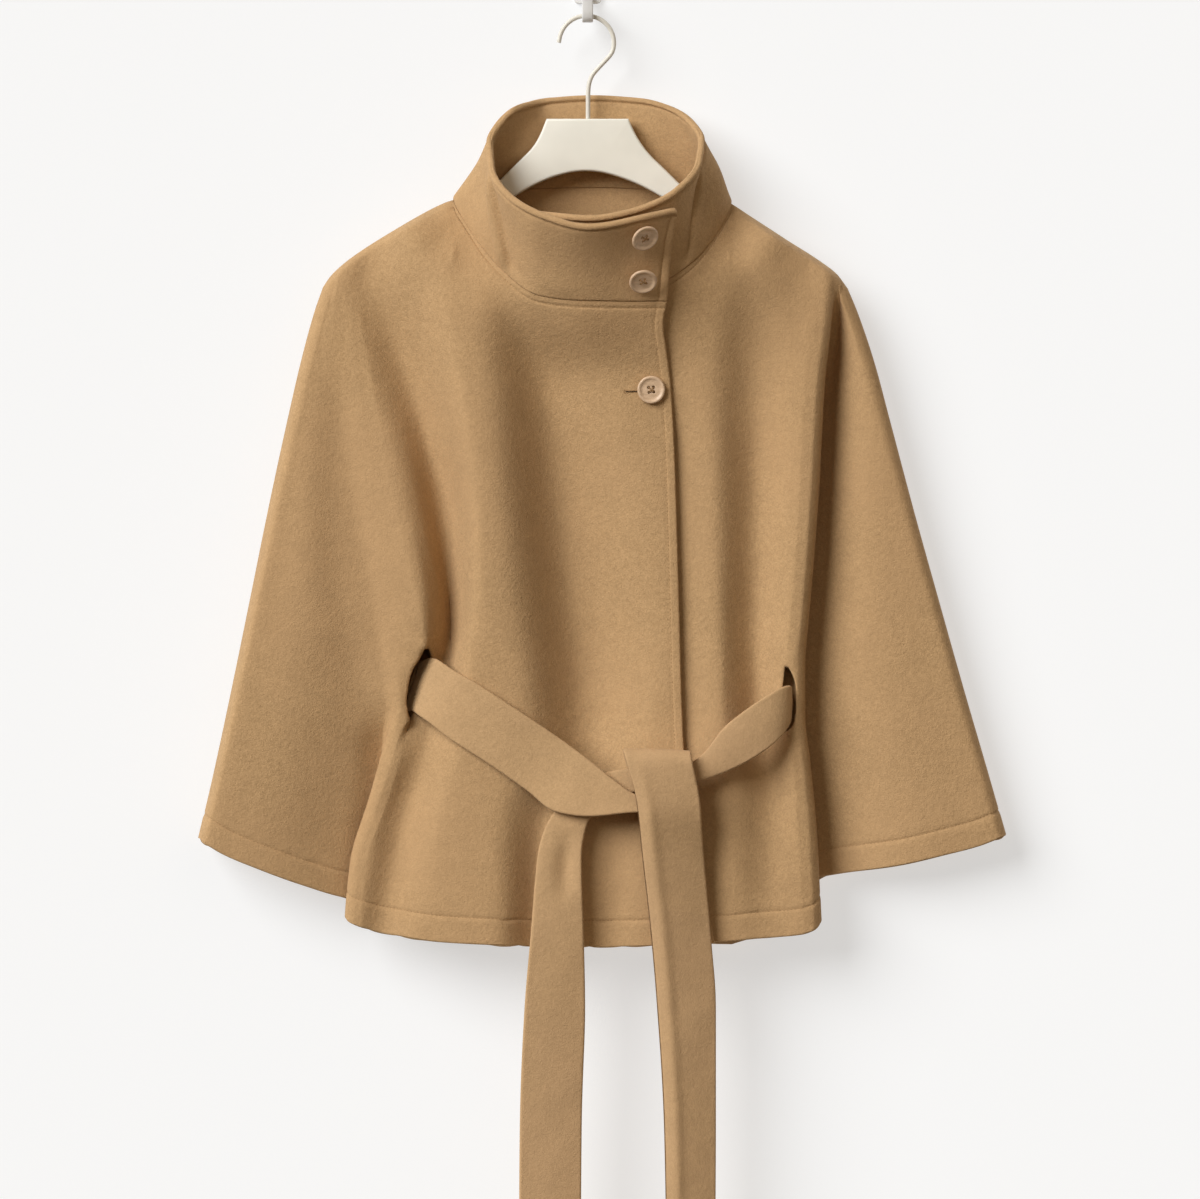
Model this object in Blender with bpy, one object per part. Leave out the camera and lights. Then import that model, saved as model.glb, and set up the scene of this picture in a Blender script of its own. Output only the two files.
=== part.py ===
"""A belted wool cape on a flat hanger, held by a small hook on a wall.

Blender works in metres and +Z is up. The wall is the plane y = 0, the origin is the centre of
the hook's plate on the wall, and the cape's front faces -Y. Left and right are as the viewer
sees them. Every table below is in millimetres and degrees, and is read between its rows by a
smooth curve.
"""

import math

import bmesh
import bpy
import numpy as np
from mathutils import Matrix

MM = 0.001

# Cloth
CLOTH = 2.4  # one layer of wool
COLLAR_CLOTH = 4.4  # two layers, turned and pressed
BELT_CLOTH = 4.0  # two layers
BELT_EASE = 1.6  # how far in from each edge it reaches that thickness
GAP = 0.3  # between two pieces at a seam
NECK_GAP = 0.5  # at the neck seam
SHOULDER_GAP = 2.0  # at its two ends, where it turns sharply at the shoulders

# Where the cape hangs
SHOULDER_Y = -29.0  # the hanger's arms, and the seam over them
CUFF_Y = -22.0  # the seam at the bottom of the wings
SHOULDER_ROLL = 12.0  # how far the cloth turns over the hanger and down the wings' edges
EDGE_FILL = 15.0  # how far the front swells before that seam
BACK_Y = -9.0
BODY_Y = -46.0  # the fronts where they are flattest, beside the body
BODY_MIDDLE = 8.0  # x of the fronts' fullest place
BODY_HALF = 205.0  # from there to the flattest place
LAP_STEP = 4.6  # how far the under front lies behind the lapped one

# Hanger and hooks
HANGER_THICK = 12.0
HANGER_TOP = -120.75
WIRE_RADIUS = 2.0
HOOK_RADIUS = 24.4
HOOK_CENTRE = (-0.9, -54.2)
PLATE = (24.0, 36.0, 3.0)  # wall plate: wide, high, thick
STRAP = (9.6, 3.0)  # wall hook's strap: wide, thick

BUTTON_RADIUS = 12.2
BUTTON_THICK = 3.6
HOLE_RADIUS = 1.1
HOLE_PITCH = 3.0  # from the button's centre


class Table:
    """Rows of numbers under named columns; the first column is the one it is read by."""

    def __init__(self, columns, *rows):
        self.names = columns.split()
        rows = np.array(rows, float)
        self.rows = rows[np.argsort(rows[:, 0])]

    def at(self, name, where):
        keys = self.rows[:, 0]
        return cubic(keys, self.rows[:, self.names.index(name)], np.asarray(where, float))


def cubic(xs, ys, at):
    """A curve through the points that never overshoots, held level past its ends."""
    at = np.clip(at, xs[0], xs[-1])
    step = np.diff(xs)
    slope = np.diff(ys) / step
    tangent = np.zeros_like(ys)
    tangent[0], tangent[-1] = slope[0], slope[-1]
    for i in range(1, len(ys) - 1):
        if slope[i - 1] * slope[i] > 0:
            near, far = 2 * step[i] + step[i - 1], step[i] + 2 * step[i - 1]
            tangent[i] = (near + far) / (near / slope[i - 1] + far / slope[i])
    i = np.clip(np.searchsorted(xs, at, side="right") - 1, 0, len(step) - 1)
    t = (at - xs[i]) / step[i]
    return (
        (1 + 2 * t) * (1 - t) ** 2 * ys[i]
        + t * (1 - t) ** 2 * step[i] * tangent[i]
        + t**2 * (3 - 2 * t) * ys[i + 1]
        + t**2 * (t - 1) * step[i] * tangent[i + 1]
    )


def lerp(a, b, t):
    return a + (b - a) * t


def ease(t):
    t = np.clip(t, 0.0, 1.0)
    return t * t * (3 - 2 * t)


def bell(t):
    return np.where(np.abs(t) < 1, (1 + np.cos(np.pi * np.clip(t, -1, 1))) / 2, 0.0)


# The garment's outline, seen from the front

SHOULDER_LEFT = Table(
    "x z",
    (-231, -269),
    (-225, -260),
    (-216, -251),
    (-199, -238),
    (-165, -217),
    (-125, -195),
    (-117, -192),
)
SHOULDER_RIGHT = Table(
    "x z",
    (125, -195),
    (138, -204),
    (171, -226),
    (204, -247),
    (218, -258),
    (227, -270),
)
SIDE_LEFT = Table(
    "z x",
    (-269, -231),
    (-289, -238),
    (-333, -250),
    (-385, -262),
    (-464, -279),
    (-543, -295),
    (-621, -311),
    (-700, -328),
    (-751, -340),
)
SIDE_RIGHT = Table(
    "z x",
    (-270, 227),
    (-289, 235),
    (-333, 250),
    (-385, 264),
    (-464, 285),
    (-543, 307),
    (-621, 329),
    (-700, 352),
    (-749, 366),
)
SEAM_DEPTH = Table("z y", (-270, SHOULDER_Y), (-500, -25), (-750, CUFF_Y))

# Hems: the fronts' bodies, then the wings
BODY_HEM_LEFT = Table(
    "x z",
    (-213, -822),
    (-199, -828),
    (-164, -836),
    (-129, -841),
    (-60, -844),
    (20, -845),
    (112, -842),
)
BODY_HEM_RIGHT = Table("x z", (0, -839), (112, -841), (151, -838), (186, -835), (204, -829))
WING_HEM_LEFT = Table(
    "x z",
    (-340, -751),
    (-322, -763),
    (-287, -778),
    (-252, -791),
    (-213, -803),
    (-180, -808),
)
WING_HEM_RIGHT = Table(
    "x z",
    (180, -790),
    (204, -785),
    (273, -775),
    (308, -767),
    (343, -758),
    (366, -749),
)
BACK_HEM = Table(
    "x z",
    (-340, -751),
    (-287, -778),
    (-213, -802),
    (-120, -824),
    (-20, -838),
    (60, -842),
    (126, -845),
    (170, -826),
    (240, -786),
    (308, -767),
    (366, -749),
)

# Lines that run from the neck or the shoulder down to the hem of each front
LAP_EDGE = Table(
    "z x",
    (-280, 71),
    (-302, 67),
    (-324, 70),
    (-359, 74),
    (-411, 77),
    (-543, 81),
    (-670, 85),
    (-761, 98),
    (-841, 112),
)
UNDER_LAP = 74.0  # how far the under front runs behind the lapped one
LEFT_LINES = Table(  # lip of the body, bottom of the trough, inner and outer side of the slit, fold
    "z lip trough inner outer fold",
    (-225, -150, -176, -186, -192, -198),
    (-285, -160, -192, -201, -207, -214),
    (-333, -148, -177, -192, -202, -212),
    (-402, -140, -162, -180, -194, -207),
    (-472, -131, -147, -166, -184, -200),
    (-525, -123, -134, -152, -173, -194),
    (-578, -119, -127, -141, -152, -182),
    (-593, -119, -127, -137, -149, -178),
    (-610, -119, -128, -139, -155, -173),
    (-628, -119, -131, -146, -158, -170),
    (-640, -120, -135, -153, -159, -169),
    (-665, -121, -146, -160, -166, -176),
    (-718, -128, -166, -175, -182, -191),
    (-770, -150, -184, -193, -199, -207),
    (-840, -160, -190, -199, -205, -213),
)
RIGHT_LINES = Table(
    "z lip trough inner outer fold",
    (-240, 150, 176, 192, 202, 209),
    (-285, 152, 180, 196, 206, 213),
    (-350, 150, 176, 192, 202, 208),
    (-455, 146, 172, 188, 197, 204),
    (-560, 140, 162, 181, 190, 197),
    (-595, 138, 158, 175, 186, 194),
    (-630, 138, 156, 171, 185, 190),
    (-647, 138, 158, 173, 185, 190),
    (-680, 140, 164, 182, 191, 197),
    (-743, 144, 172, 189, 197, 203),
    (-827, 146, 174, 190, 198, 204),
)
SLIT_LEFT = (-584, -645)  # top and bottom of each belt slit
SLIT_RIGHT = (-600, -657)

# The turned fold beside each body: bend radius, length of the turned-back layer, turn in degrees
LEFT_FOLD = Table(
    "z bend tuck turn",
    (-230, 1.6, 1, 1),
    (-560, 3.0, 1, 1),
    (-620, 3.6, 1, 12),
    (-645, 4.4, 2, 75),
    (-670, 5.4, 4, 140),
    (-718, 6.6, 10, 172),
    (-840, 7.4, 20, 178),
)
RIGHT_FOLD = Table(
    "z bend tuck turn",
    (-255, 1.8, 1, 15),
    (-275, 2.6, 1, 60),
    (-300, 3.8, 2, 110),
    (-350, 5.6, 4, 150),
    (-450, 7.4, 10, 172),
    (-600, 8.0, 14, 178),
    (-840, 8.0, 24, 178),
)
# How full the fronts are, where the turned fold starts, and how far each wing swells
FULLNESS = Table("z forward", (-840, 27), (-640, 25), (-420, 27), (-280, 24))
LEFT_DEPTHS = Table(
    "z fold_y swell",
    (-230, -44, 2),
    (-300, -52, 3.2),
    (-450, -55, 7.8),
    (-620, -53, 10.2),
    (-700, -57, 11),
    (-840, -56, 12),
)
RIGHT_DEPTHS = Table(
    "z fold_y swell",
    (-240, -42, 2),
    (-300, -54, 3.8),
    (-450, -60, 11),
    (-620, -60, 14.2),
    (-840, -58, 16),
)
VALLEY = Table(  # how deep the trough lies behind the body, down each front
    "z left right",
    (-250, 0, 0),
    (-350, 8, 0),
    (-450, 13, 1),
    (-525, 19, 2),
    (-570, 24, 4),
    (-600, 18, 5),
    (-640, 15, 6),
    (-670, 16, 8),
    (-720, 12, 5),
    (-780, 6, 2),
    (-840, 3, 1),
)
ACROSS_VALLEY = Table("line share", (0.9, 0), (1.5, 0.62), (2, 1), (3, 0.7), (4, 0.25), (5, 0))

# Soft folds: the line of each one, its half width, and how far it goes back (-) or out (+)
FRONT_FOLDS = (
    Table(
        "z x half out",
        (-222, -108, 16, 0),
        (-289, -86, 24, -7),
        (-394, -56, 28, -8),
        (-525, -36, 26, -10),
        (-630, -26, 22, -12),
        (-665, -18, 20, -6),
        (-700, -10, 20, 0),
    ),
    Table(
        "z x half out",
        (-235, 113, 16, 0),
        (-306, 120, 20, -6),
        (-455, 129, 24, -8),
        (-586, 137, 24, -9),
        (-640, 142, 20, -6),
        (-690, 146, 18, 0),
    ),
    Table(
        "z x half out",
        (-240, -128, 20, 0),
        (-330, -112, 26, 4),
        (-560, -84, 34, 5),
        (-660, -70, 30, 0),
    ),
    Table(
        "z x half out",
        (-690, 132, 18, 0),
        (-715, 130, 22, -9),
        (-760, 126, 24, -4),
        (-800, 122, 20, 0),
    ),
)
BACK_FOLDS = (
    Table(
        "z x half out",
        (-300, -70, 30, 0),
        (-450, -92, 40, 1.6),
        (-700, -128, 52, 2.8),
        (-830, -150, 60, 3.2),
    ),
    Table("z x half out", (-330, 20, 34, 0), (-520, 14, 44, 1.6), (-842, 4, 60, 2.4)),
    Table(
        "z x half out",
        (-300, 96, 30, 0),
        (-460, 122, 42, 1.6),
        (-700, 160, 54, 2.8),
        (-820, 184, 60, 3.2),
    ),
)

# The neck seam and the collar's rim, from the lapped end round by the left and the back to the
# end that lies under: a row for each section
COLLAR = Table(
    "t base_x base_y base_z rim_x rim_y rim_z",
    (0, 69.5, -86, -282, 78, -110, -201),
    (1, 37, -88, -282, 46, -124, -209),
    (2, -2, -88, -281.5, 2, -128, -217),
    (3, -42, -82, -277, -38, -122, -207),
    (4, -74, -69, -254, -68, -105, -189),
    (5, -100, -50, -222, -83, -82, -165),
    (6, -117, -30, -192.5, -84, -58, -140),
    (7, -100, -17, -185, -62, -31, -114),
    (8, 3, -9, -180, 3, -13, -101),
    (9, 108, -17, -186, 74, -31, -113),
    (10, 125, -30, -195, 98, -58, -137),
    (11, 112, -50, -222, 96, -80, -160),
    (12, 88, -67, -250, 76, -100, -186),
    (13, 52, -78, -270, 38, -116, -207),
    (14, 6, -81, -276, 2, -119.5, -213.5),
    (15, -36, -76, -270, -38, -113, -203),
)
LEFT_NECK = (0, 0.7, 1.4, 2.1, 2.8, 3.5, 4.2, 4.8, 5.4, 5.7, 6)
BACK_NECK = (6, 6.4, 6.8, 7.2, 7.6, 8, 8.4, 8.8, 9.2, 9.6, 10)
RIGHT_NECK = (10, 10.3, 10.6, 11.2, 11.8, 12.5, 13.2, 14, 15)

# The belt's stretches: its two edges, seen from the front, and their depth
BELT_OVER = Table(
    "t top_x top_z top_y low_x low_z low_y",
    (0, -149, -596, -37.5, -163.5, -639, -38.5),
    (1, -144, -594.5, -45, -156.5, -638.5, -46.8),
    (2, -135.5, -592, -51.5, -148, -643, -55.5),
    (3, -118, -603, -66, -136, -651, -63),
    (4, -100, -613, -73, -124, -661, -67.5),
    (5, -64, -636, -79, -88, -684, -76),
    (6, -24, -663, -81, -52, -709, -80),
    (7, 2, -682, -86, -28, -727, -87),
    (8, 22, -698, -89, 2, -731, -91),
    (9, 43, -712, -91, 44, -727, -93),
    (10, 64, -716, -91, 66, -729, -93),
)
BELT_UNDER = Table(
    "t top_x top_z top_y low_x low_z low_y",
    (0, 172, -617.5, -48, 172.4, -649, -47.8),
    (1, 180.4, -617.5, -55, 180.4, -650, -55),
    (2, 174, -618, -61.5, 174, -656, -61.5),
    (3, 160, -624, -64.5, 163, -673, -63),
    (4, 138, -638, -69, 146, -683, -67),
    (5, 118, -654, -74, 124, -691, -73),
    (6, 98, -679, -82, 98, -700, -82),
    (7, 68, -692, -84, 68, -706, -84),
    (8, 38, -689, -82, 40, -710, -84),
    (9, 14, -693, -80, 16, -720, -81),
    (10, -8, -706, -79, 2, -733, -81),
    (11, -30, -728, -79, -2, -745, -81),
    (12, -42, -756, -79, -5, -768, -82),
    (13, -50, -840, -79, -3, -842, -84),
    (14, -55, -900, -78, -2, -900, -83),
    (15, -59, -1000, -77, -5, -1000, -81),
    (16, -60, -1150, -76, -6, -1150, -78),
)
BELT_TAIL = Table(
    "t top_x top_z top_y low_x low_z low_y",
    (0, 42, -724, -77.5, 90, -724, -77.5),
    (1, 36, -696, -77.5, 90, -697, -77.5),
    (2, 32, -680, -79.5, 90, -682, -79.5),
    (3, 30.5, -671.5, -88, 90, -673.5, -88),
    (4, 33, -680, -97, 91, -682, -97),
    (5, 43, -718, -101, 98, -718, -100),
    (6, 48, -761, -99, 101, -761, -97),
    (7, 57, -840, -92, 108, -840, -88),
    (8, 62, -900, -88, 112, -900, -84),
    (9, 68, -1000, -86, 112, -1000, -80),
    (10, 71, -1165, -85, 111, -1165, -77),
)
BELT_BACK = Table(
    "t top_x top_z top_y low_x low_z low_y",
    (0, -149.6, -596, -35.9, -164, -639, -36.9),
    (1, -150.5, -596, -30, -164, -639.5, -31),
    (2, -143, -595, -23.5, -156, -640, -25),
    (3, -120, -591, -18.5, -126, -640, -19),
    (4, -60, -585, -16, -60, -636, -16),
    (5, 20, -581, -16, 20, -633, -16),
    (6, 90, -586, -16.5, 90, -638, -16.5),
    (7, 128, -593, -20, 129, -644, -20.5),
    (8, 142, -600, -28, 144, -648, -29),
    (9, 149, -607, -38, 152, -651, -39),
    (10, 158, -614, -45.4, 160, -650, -45.4),
    (11, 171, -617.5, -47.6, 171.4, -649, -47.4),
)

WOOL = ((0.5, 0.3, 0.14), 0.9)
WOOL_EDGE = ((0.46, 0.27, 0.13), 0.9)
HORN = ((0.42, 0.25, 0.15), 0.45)
CREAM_PAINT = ((0.8, 0.76, 0.68), 0.45)
CREAM_METAL = ((0.78, 0.75, 0.68), 0.4)
WHITE_PAINT = ((0.86, 0.86, 0.85), 0.4)


def material(name, finish):
    colour, roughness = finish
    made = bpy.data.materials.new(name)
    made.use_nodes = True
    shader = made.node_tree.nodes["Principled BSDF"]
    shader.inputs["Base Color"].default_value = (*colour, 1)
    shader.inputs["Roughness"].default_value = roughness
    shader.inputs["Metallic"].default_value = 0.0
    return made


def add_object(name, bm, finish, smooth=True):
    bmesh.ops.recalc_face_normals(bm, faces=bm.faces)
    if bm.calc_volume(signed=True) < 0:
        bmesh.ops.reverse_faces(bm, faces=bm.faces)
    mesh = bpy.data.meshes.new(name)
    bm.to_mesh(mesh)
    bm.free()
    if smooth:
        mesh.shade_smooth()
        mesh.set_sharp_from_angle(angle=math.radians(40))
    mesh.materials.append(material(name, finish))
    made = bpy.data.objects.new(name, mesh)
    bpy.context.scene.collection.objects.link(made)
    return made


def unit(vectors):
    return vectors / np.linalg.norm(vectors, axis=-1, keepdims=True)


def wall(name, points, thick, finish, outward, normals=None, hole=None):
    """Gives a grid of points a wall: half its thickness to each side, with rims round its borders.

    normals holds the way the rim stands at a border, where a seam sets it, and hole is the
    cells that are left out.
    """
    along = np.gradient(points, axis=0)
    across = np.gradient(points, axis=1)
    way = unit(np.cross(along, across)) * outward
    for place, value in normals or ():
        way[place] = value
    outer, inner = points + way * thick / 2, points - way * thick / 2
    rows, columns = points.shape[:2]
    bm = bmesh.new()
    skins = [[bm.verts.new(place * MM) for place in skin.reshape(-1, 3)] for skin in (outer, inner)]
    directed = set()
    for row in range(rows - 1):
        for column in range(columns - 1):
            if hole and (row, column) in hole:
                continue
            a = row * columns + column
            ring = (a, a + 1, a + columns + 1, a + columns)
            bm.faces.new([skins[0][i] for i in ring])
            bm.faces.new([skins[1][i] for i in reversed(ring)])
            directed.update(zip(ring, ring[1:] + ring[:1]))
    for a, b in directed:
        if (b, a) not in directed:
            bm.faces.new((skins[0][b], skins[0][a], skins[1][a], skins[1][b]))
    for loose in [vert for vert in bm.verts if not vert.link_faces]:
        bm.verts.remove(loose)
    return add_object(name, bm, finish)


# The collar and the neck seam

SHOULDER_SPREAD = 0.0021  # how fast the panels below the seam run outwards, for each mm from the middle
CHEST_LEAN = 0.004  # how fast they run forward, for each mm from the wall
COLLAR_SHARES = (0.0, 0.07, 0.3, 0.55, 0.8, 0.95, 1.0)  # rows up the collar

def collar_points(t, height):
    """Points of the collar at its sections t and at a share of its height."""
    base = np.stack([COLLAR.at("base_" + axis, t) for axis in "xyz"], axis=-1)
    rim = np.stack([COLLAR.at("rim_" + axis, t) for axis in "xyz"], axis=-1)
    return lerp(base, rim, height)


def neck_frame(t):
    """The neck seam's points, half the gap across it, and the way out of the cloth."""
    base = collar_points(t, 0.0)
    up = unit(collar_points(t, 1.0) - base)
    panel = np.stack([SHOULDER_SPREAD * base[:, 0], CHEST_LEAN * base[:, 1], -np.ones(len(base))], axis=-1)
    up = unit(up - unit(panel))
    step = 0.02
    along = collar_points(t + step, 0.0) - collar_points(t - step, 0.0)
    out = unit(np.cross(up, along))
    turning = bell((t - 6) / 0.8) + bell((t - 10) / 0.8)
    apart = up * lerp(NECK_GAP, SHOULDER_GAP, turning)[:, None] / 2
    return base, apart, out


def collar():
    t = np.array(LEFT_NECK + BACK_NECK[1:] + RIGHT_NECK[1:])
    _, apart, out = neck_frame(t)
    rows = [collar_points(t, share) for share in COLLAR_SHARES]
    rows[0] = rows[0] + apart
    points = np.array(rows)
    return wall("collar", points, COLLAR_CLOTH, WOOL, -1, [(0, out)])


# The fronts and the back


def body_depth(x, z):
    """How far the body's front stands from the wall, as one soft curve across both fronts."""
    chest = np.clip(1 - ((x - BODY_MIDDLE) / BODY_HALF) ** 2, 0, None)
    return BODY_Y - FULLNESS.at("forward", z) * chest


def folds(table, x, z):
    out = np.zeros_like(x)
    for fold in table:
        out = out + fold.at("out", z) * bell((x - fold.at("x", z)) / fold.at("half", z))
    return out


def rim_distance(x, z):
    """How far in from the shoulders' and the wings' edge a point lies, seen from the front."""
    lines = []
    for shoulder, side in ((SHOULDER_LEFT, SIDE_LEFT), (SHOULDER_RIGHT, SIDE_RIGHT)):
        across = np.linspace(shoulder.rows[0, 0], shoulder.rows[-1, 0], 60)
        lines.append(np.stack([across, shoulder.at("z", across)], axis=-1))
        down = np.linspace(side.rows[0, 0], side.rows[-1, 0], 160)
        lines.append(np.stack([side.at("x", down), down], axis=-1))
    line = np.concatenate(lines)
    where = np.stack([x, z], axis=-1)
    return np.sqrt(((where[..., None, :] - line) ** 2).sum(axis=-1)).min(axis=-1)


def turned_edge(y, x, z, side):
    """Turns the cloth over at the shoulders and at the wings' edges, to meet the seam there."""
    seam = SEAM_DEPTH.at("y", z) + side * GAP / 2
    share = np.clip(rim_distance(x, z) / SHOULDER_ROLL, 0, 1)
    return seam + (y - seam) * np.sqrt(1 - (1 - share) ** 2)


EDGE_STEPS = (1.0, 0.5, 0.13, 0.0)  # shares of the roll, from its start to the seam
FRONT_FADE = 70.0  # how far below the neck seam a front takes to reach its own depth
BACK_FADE = 14.0
ROWS = (0, 0.004, 0.012, 0.022, 0.04, 0.075, 0.125, 0.185, 0.25, 0.32, 0.39, 0.46, 0.53, 0.58)
BELOW_SLIT = (0.73, 0.77, 0.82, 0.87, 0.92, 0.96, 1.0)
BACK_ROWS = ROWS[:5] + (0.08, 0.14, 0.21, 0.29, 0.38, 0.47, 0.56, 0.65, 0.74, 0.83, 0.92, 1)


def fold_section(fold, z, start_x, start_y, way, steps):
    """The section of the turned fold: round one bend, back along the tuck and round the other.

    Each bend keeps its length while its turn grows, so the fold opens out flat where it ends.
    """
    bend, tuck = fold.at("bend", z), fold.at("tuck", z)
    turn = np.radians(fold.at("turn", z))
    radius = math.pi * bend / turn
    xs, ys = [], []
    for step in steps:
        angle = turn * min(step, 1)
        x, y = radius * np.sin(angle), radius * (1 - np.cos(angle))
        if step > 1:
            x = x + tuck * np.cos(turn)
            y = y + tuck * np.sin(turn)
            angle = turn * (3 - step) if step < 3 else turn * 0
            x = x + radius * (np.sin(turn) - np.sin(angle))
            y = y + radius * (np.cos(angle) - np.cos(turn))
        xs.append(start_x + way * x)
        ys.append(start_y + y)
    return xs, ys


FOLD_STEPS = (0.25, 0.5, 0.75, 1.0, 2.0, 2.25, 2.5, 2.75, 3.0)
WING_STEPS = (0.1, 0.24, 0.4, 0.56, 0.72, 0.87)
BODY_STEPS = (0.8, 1, 1.35, 1.7, 2, 2.5, 3, 4, 4.5, 5)
FOLD_CLEAR = 2.0  # the least from a slit to the fold beside it
WING_RISE = 1.15  # a wing reaches its seam's depth this much sooner than its edge
WING_ROUND = 1.2  # how the swell is shaped: 1 is a sine, and more is narrower
SETTLE = 40  # rounds that find where a column meets a shoulder or a hem


def front_section(spec, columns, z):
    """x and y of every column at its own height z, with the line that it lies on."""
    way, lines, side = spec["way"], spec["lines"], spec["side"]
    guides = [spec["edge"](z)]
    guides += [lines.at(name, z) for name in ("lip", "trough", "inner", "outer", "fold")]
    turn = np.radians(spec["fold"].at("turn", z))
    reach = math.pi * spec["fold"].at("bend", z) / turn * np.sin(np.minimum(turn, math.pi / 2))
    guides[5] = guides[4] + way * np.maximum(way * (guides[5] - guides[4]) - reach, FOLD_CLEAR)
    x, y = np.zeros_like(z), np.zeros_like(z)
    deep = VALLEY.at(spec["name"], z)
    for column, (kind, place) in enumerate(columns):
        zc = z[:, column]
        if kind == "body":
            i = min(int(place), 4)
            x[:, column] = lerp(guides[i][:, column], guides[i + 1][:, column], place - i)
            flat = body_depth(x[:, column], zc)
            at_fold = lerp(flat, spec["depths"].at("fold_y", zc), ease((place - 1) / 4))
            y[:, column] = at_fold + deep[:, column] * ACROSS_VALLEY.at("share", place)
            continue
        start_y = spec["depths"].at("fold_y", zc)
        xs, ys = fold_section(spec["fold"], zc, guides[5][:, column], start_y, way, FOLD_STEPS)
        if kind == "fold":
            i = FOLD_STEPS.index(place)
            x[:, column], y[:, column] = xs[i], ys[i]
            continue
        far = side.at("x", zc)
        if kind == "wing":
            x[:, column] = lerp(xs[-1], far - way * SHOULDER_ROLL, place)
            seam = SEAM_DEPTH.at("y", zc)
            flat = lerp(ys[-1], seam - EDGE_FILL, ease(place * WING_RISE))
            fill = spec["depths"].at("swell", zc) * math.sin(math.pi * place) ** WING_ROUND
            y[:, column] = flat - fill
        else:
            x[:, column] = far - way * SHOULDER_ROLL * place
            y[:, column] = SEAM_DEPTH.at("y", zc) - EDGE_FILL
    y = y - folds(FRONT_FOLDS, x, z)
    y = y + spec["drop"](x, z)
    return x, y


def front_columns(neck_lines):
    """A front's columns from the lap to the wing's edge, each with the line that it keeps to."""
    body = [("body", place) for place in neck_lines]
    body += [("body", place) for place in BODY_STEPS if place > neck_lines[-1]]
    fold = [("fold", step) for step in FOLD_STEPS]
    wing = [("wing", place) for place in WING_STEPS]
    edge = [("edge", place) for place in EDGE_STEPS]
    return body + fold + wing + edge


def edge_normals(x, z, axis, way):
    """Square to a border's line, as seen from the front, towards +X or -X (axis 0) or +Z (axis 2)."""
    square = unit(np.stack([np.gradient(z), np.zeros_like(z), -np.gradient(x)], axis=-1))
    return square * np.sign(square[:, axis : axis + 1]) * way


def front(spec):
    neck_t = np.array(spec["neck"], float)
    base, apart, out = neck_frame(neck_t)
    tops = base - apart
    edge, lip = spec["edge"](tops[:, 2]), spec["lines"].at("lip", tops[:, 2])
    places = (tops[:, 0] - edge) / (lip - edge)
    columns = front_columns(list(places))
    count = len(neck_t)

    # The top of each column: on the neck seam, or where the column meets the shoulder.
    top = np.full((1, len(columns)), -250.0)
    top[0, :count] = tops[:, 2]
    for _ in range(SETTLE):
        x, _ = front_section(spec, columns, top)
        reached = spec["shoulder"].at("z", x[0, count:])
        top[0, count:] = lerp(top[0, count:], reached, 0.6)
    hem = np.array([[-830.0] * len(columns)])
    for _ in range(SETTLE):
        x, _ = front_section(spec, columns, hem)
        hem = lerp(hem, hem_height(spec, columns, x), 0.6)

    rows = np.array(ROWS + spec["slit_rows"] + BELOW_SLIT)[:, None]
    z = top + (hem - top) * rows
    x, y = front_section(spec, columns, z)
    y = turned_edge(y, x, z, -1)
    wanted = np.zeros(len(columns))
    wanted[:count] = tops[:, 1] - y[0, :count]
    y = y + wanted * (1 - ease((top - z) / FRONT_FADE))
    x[0, :count], z[0, :count] = tops[:, 0], tops[:, 2]
    points = np.stack([x, y, z], axis=-1)

    inner = columns.index(("body", 3))
    first = len(ROWS)
    hole = {(row, inner) for row in range(first, first + len(spec["slit_rows"]) - 1)}
    normals = [
        (np.s_[:, -1], edge_normals(x[:, -1], z[:, -1], 0, spec["way"])),
        (np.s_[0, :count], out),
        (np.s_[0, count:], edge_normals(x[0, count:], z[0, count:], 2, 1)),
    ]
    return wall(spec["node"], points, CLOTH, WOOL, spec["way"], normals, hole)


def hem_height(spec, columns, x):
    """The hem under each column: the body's, the wing's, and a way up from one to the other."""
    hem = np.zeros_like(x)
    for column, (kind, place) in enumerate(columns):
        body = spec["body_hem"].at("z", x[:, column])
        wing = spec["wing_hem"].at("z", x[:, column])
        share = 0.0 if kind == "body" else 1.0
        if kind == "fold":
            share = place / 3
        hem[:, column] = lerp(body, wing, share)
    return hem


def slit_rows(top, hem, slit, count=4):
    """Shares of a column's length at which the rows beside a slit lie."""
    return tuple((top - z) / (top - hem) for z in np.linspace(slit[0], slit[1], count))


def lap_drop(x, z):
    """The under front lies behind the lapped one and comes forward again beyond its edge."""
    past = (x - LAP_EDGE.at("x", z) - 6) / 50
    return LAP_STEP * (1 - ease(past))


LEFT_FRONT = {
    "node": "front_over",
    "name": "left",
    "way": -1,
    "lines": LEFT_LINES,
    "fold": LEFT_FOLD,
    "side": SIDE_LEFT,
    "shoulder": SHOULDER_LEFT,
    "neck": LEFT_NECK,
    "edge": lambda z: LAP_EDGE.at("x", z),
    "depths": LEFT_DEPTHS,
    "drop": lambda x, z: np.zeros_like(x),
    "body_hem": BODY_HEM_LEFT,
    "wing_hem": WING_HEM_LEFT,
    "slit_rows": slit_rows(-222, -822, SLIT_LEFT),
}
RIGHT_FRONT = {
    "node": "front_under",
    "name": "right",
    "way": 1,
    "lines": RIGHT_LINES,
    "fold": RIGHT_FOLD,
    "side": SIDE_RIGHT,
    "shoulder": SHOULDER_RIGHT,
    "neck": tuple(reversed(RIGHT_NECK)),
    "edge": lambda z: LAP_EDGE.at("x", z) - UNDER_LAP - 33 * ease((z + 340) / 65),
    "depths": RIGHT_DEPTHS,
    "drop": lap_drop,
    "body_hem": BODY_HEM_RIGHT,
    "wing_hem": WING_HEM_RIGHT,
    "slit_rows": slit_rows(-247, -830, SLIT_RIGHT),
}


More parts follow.
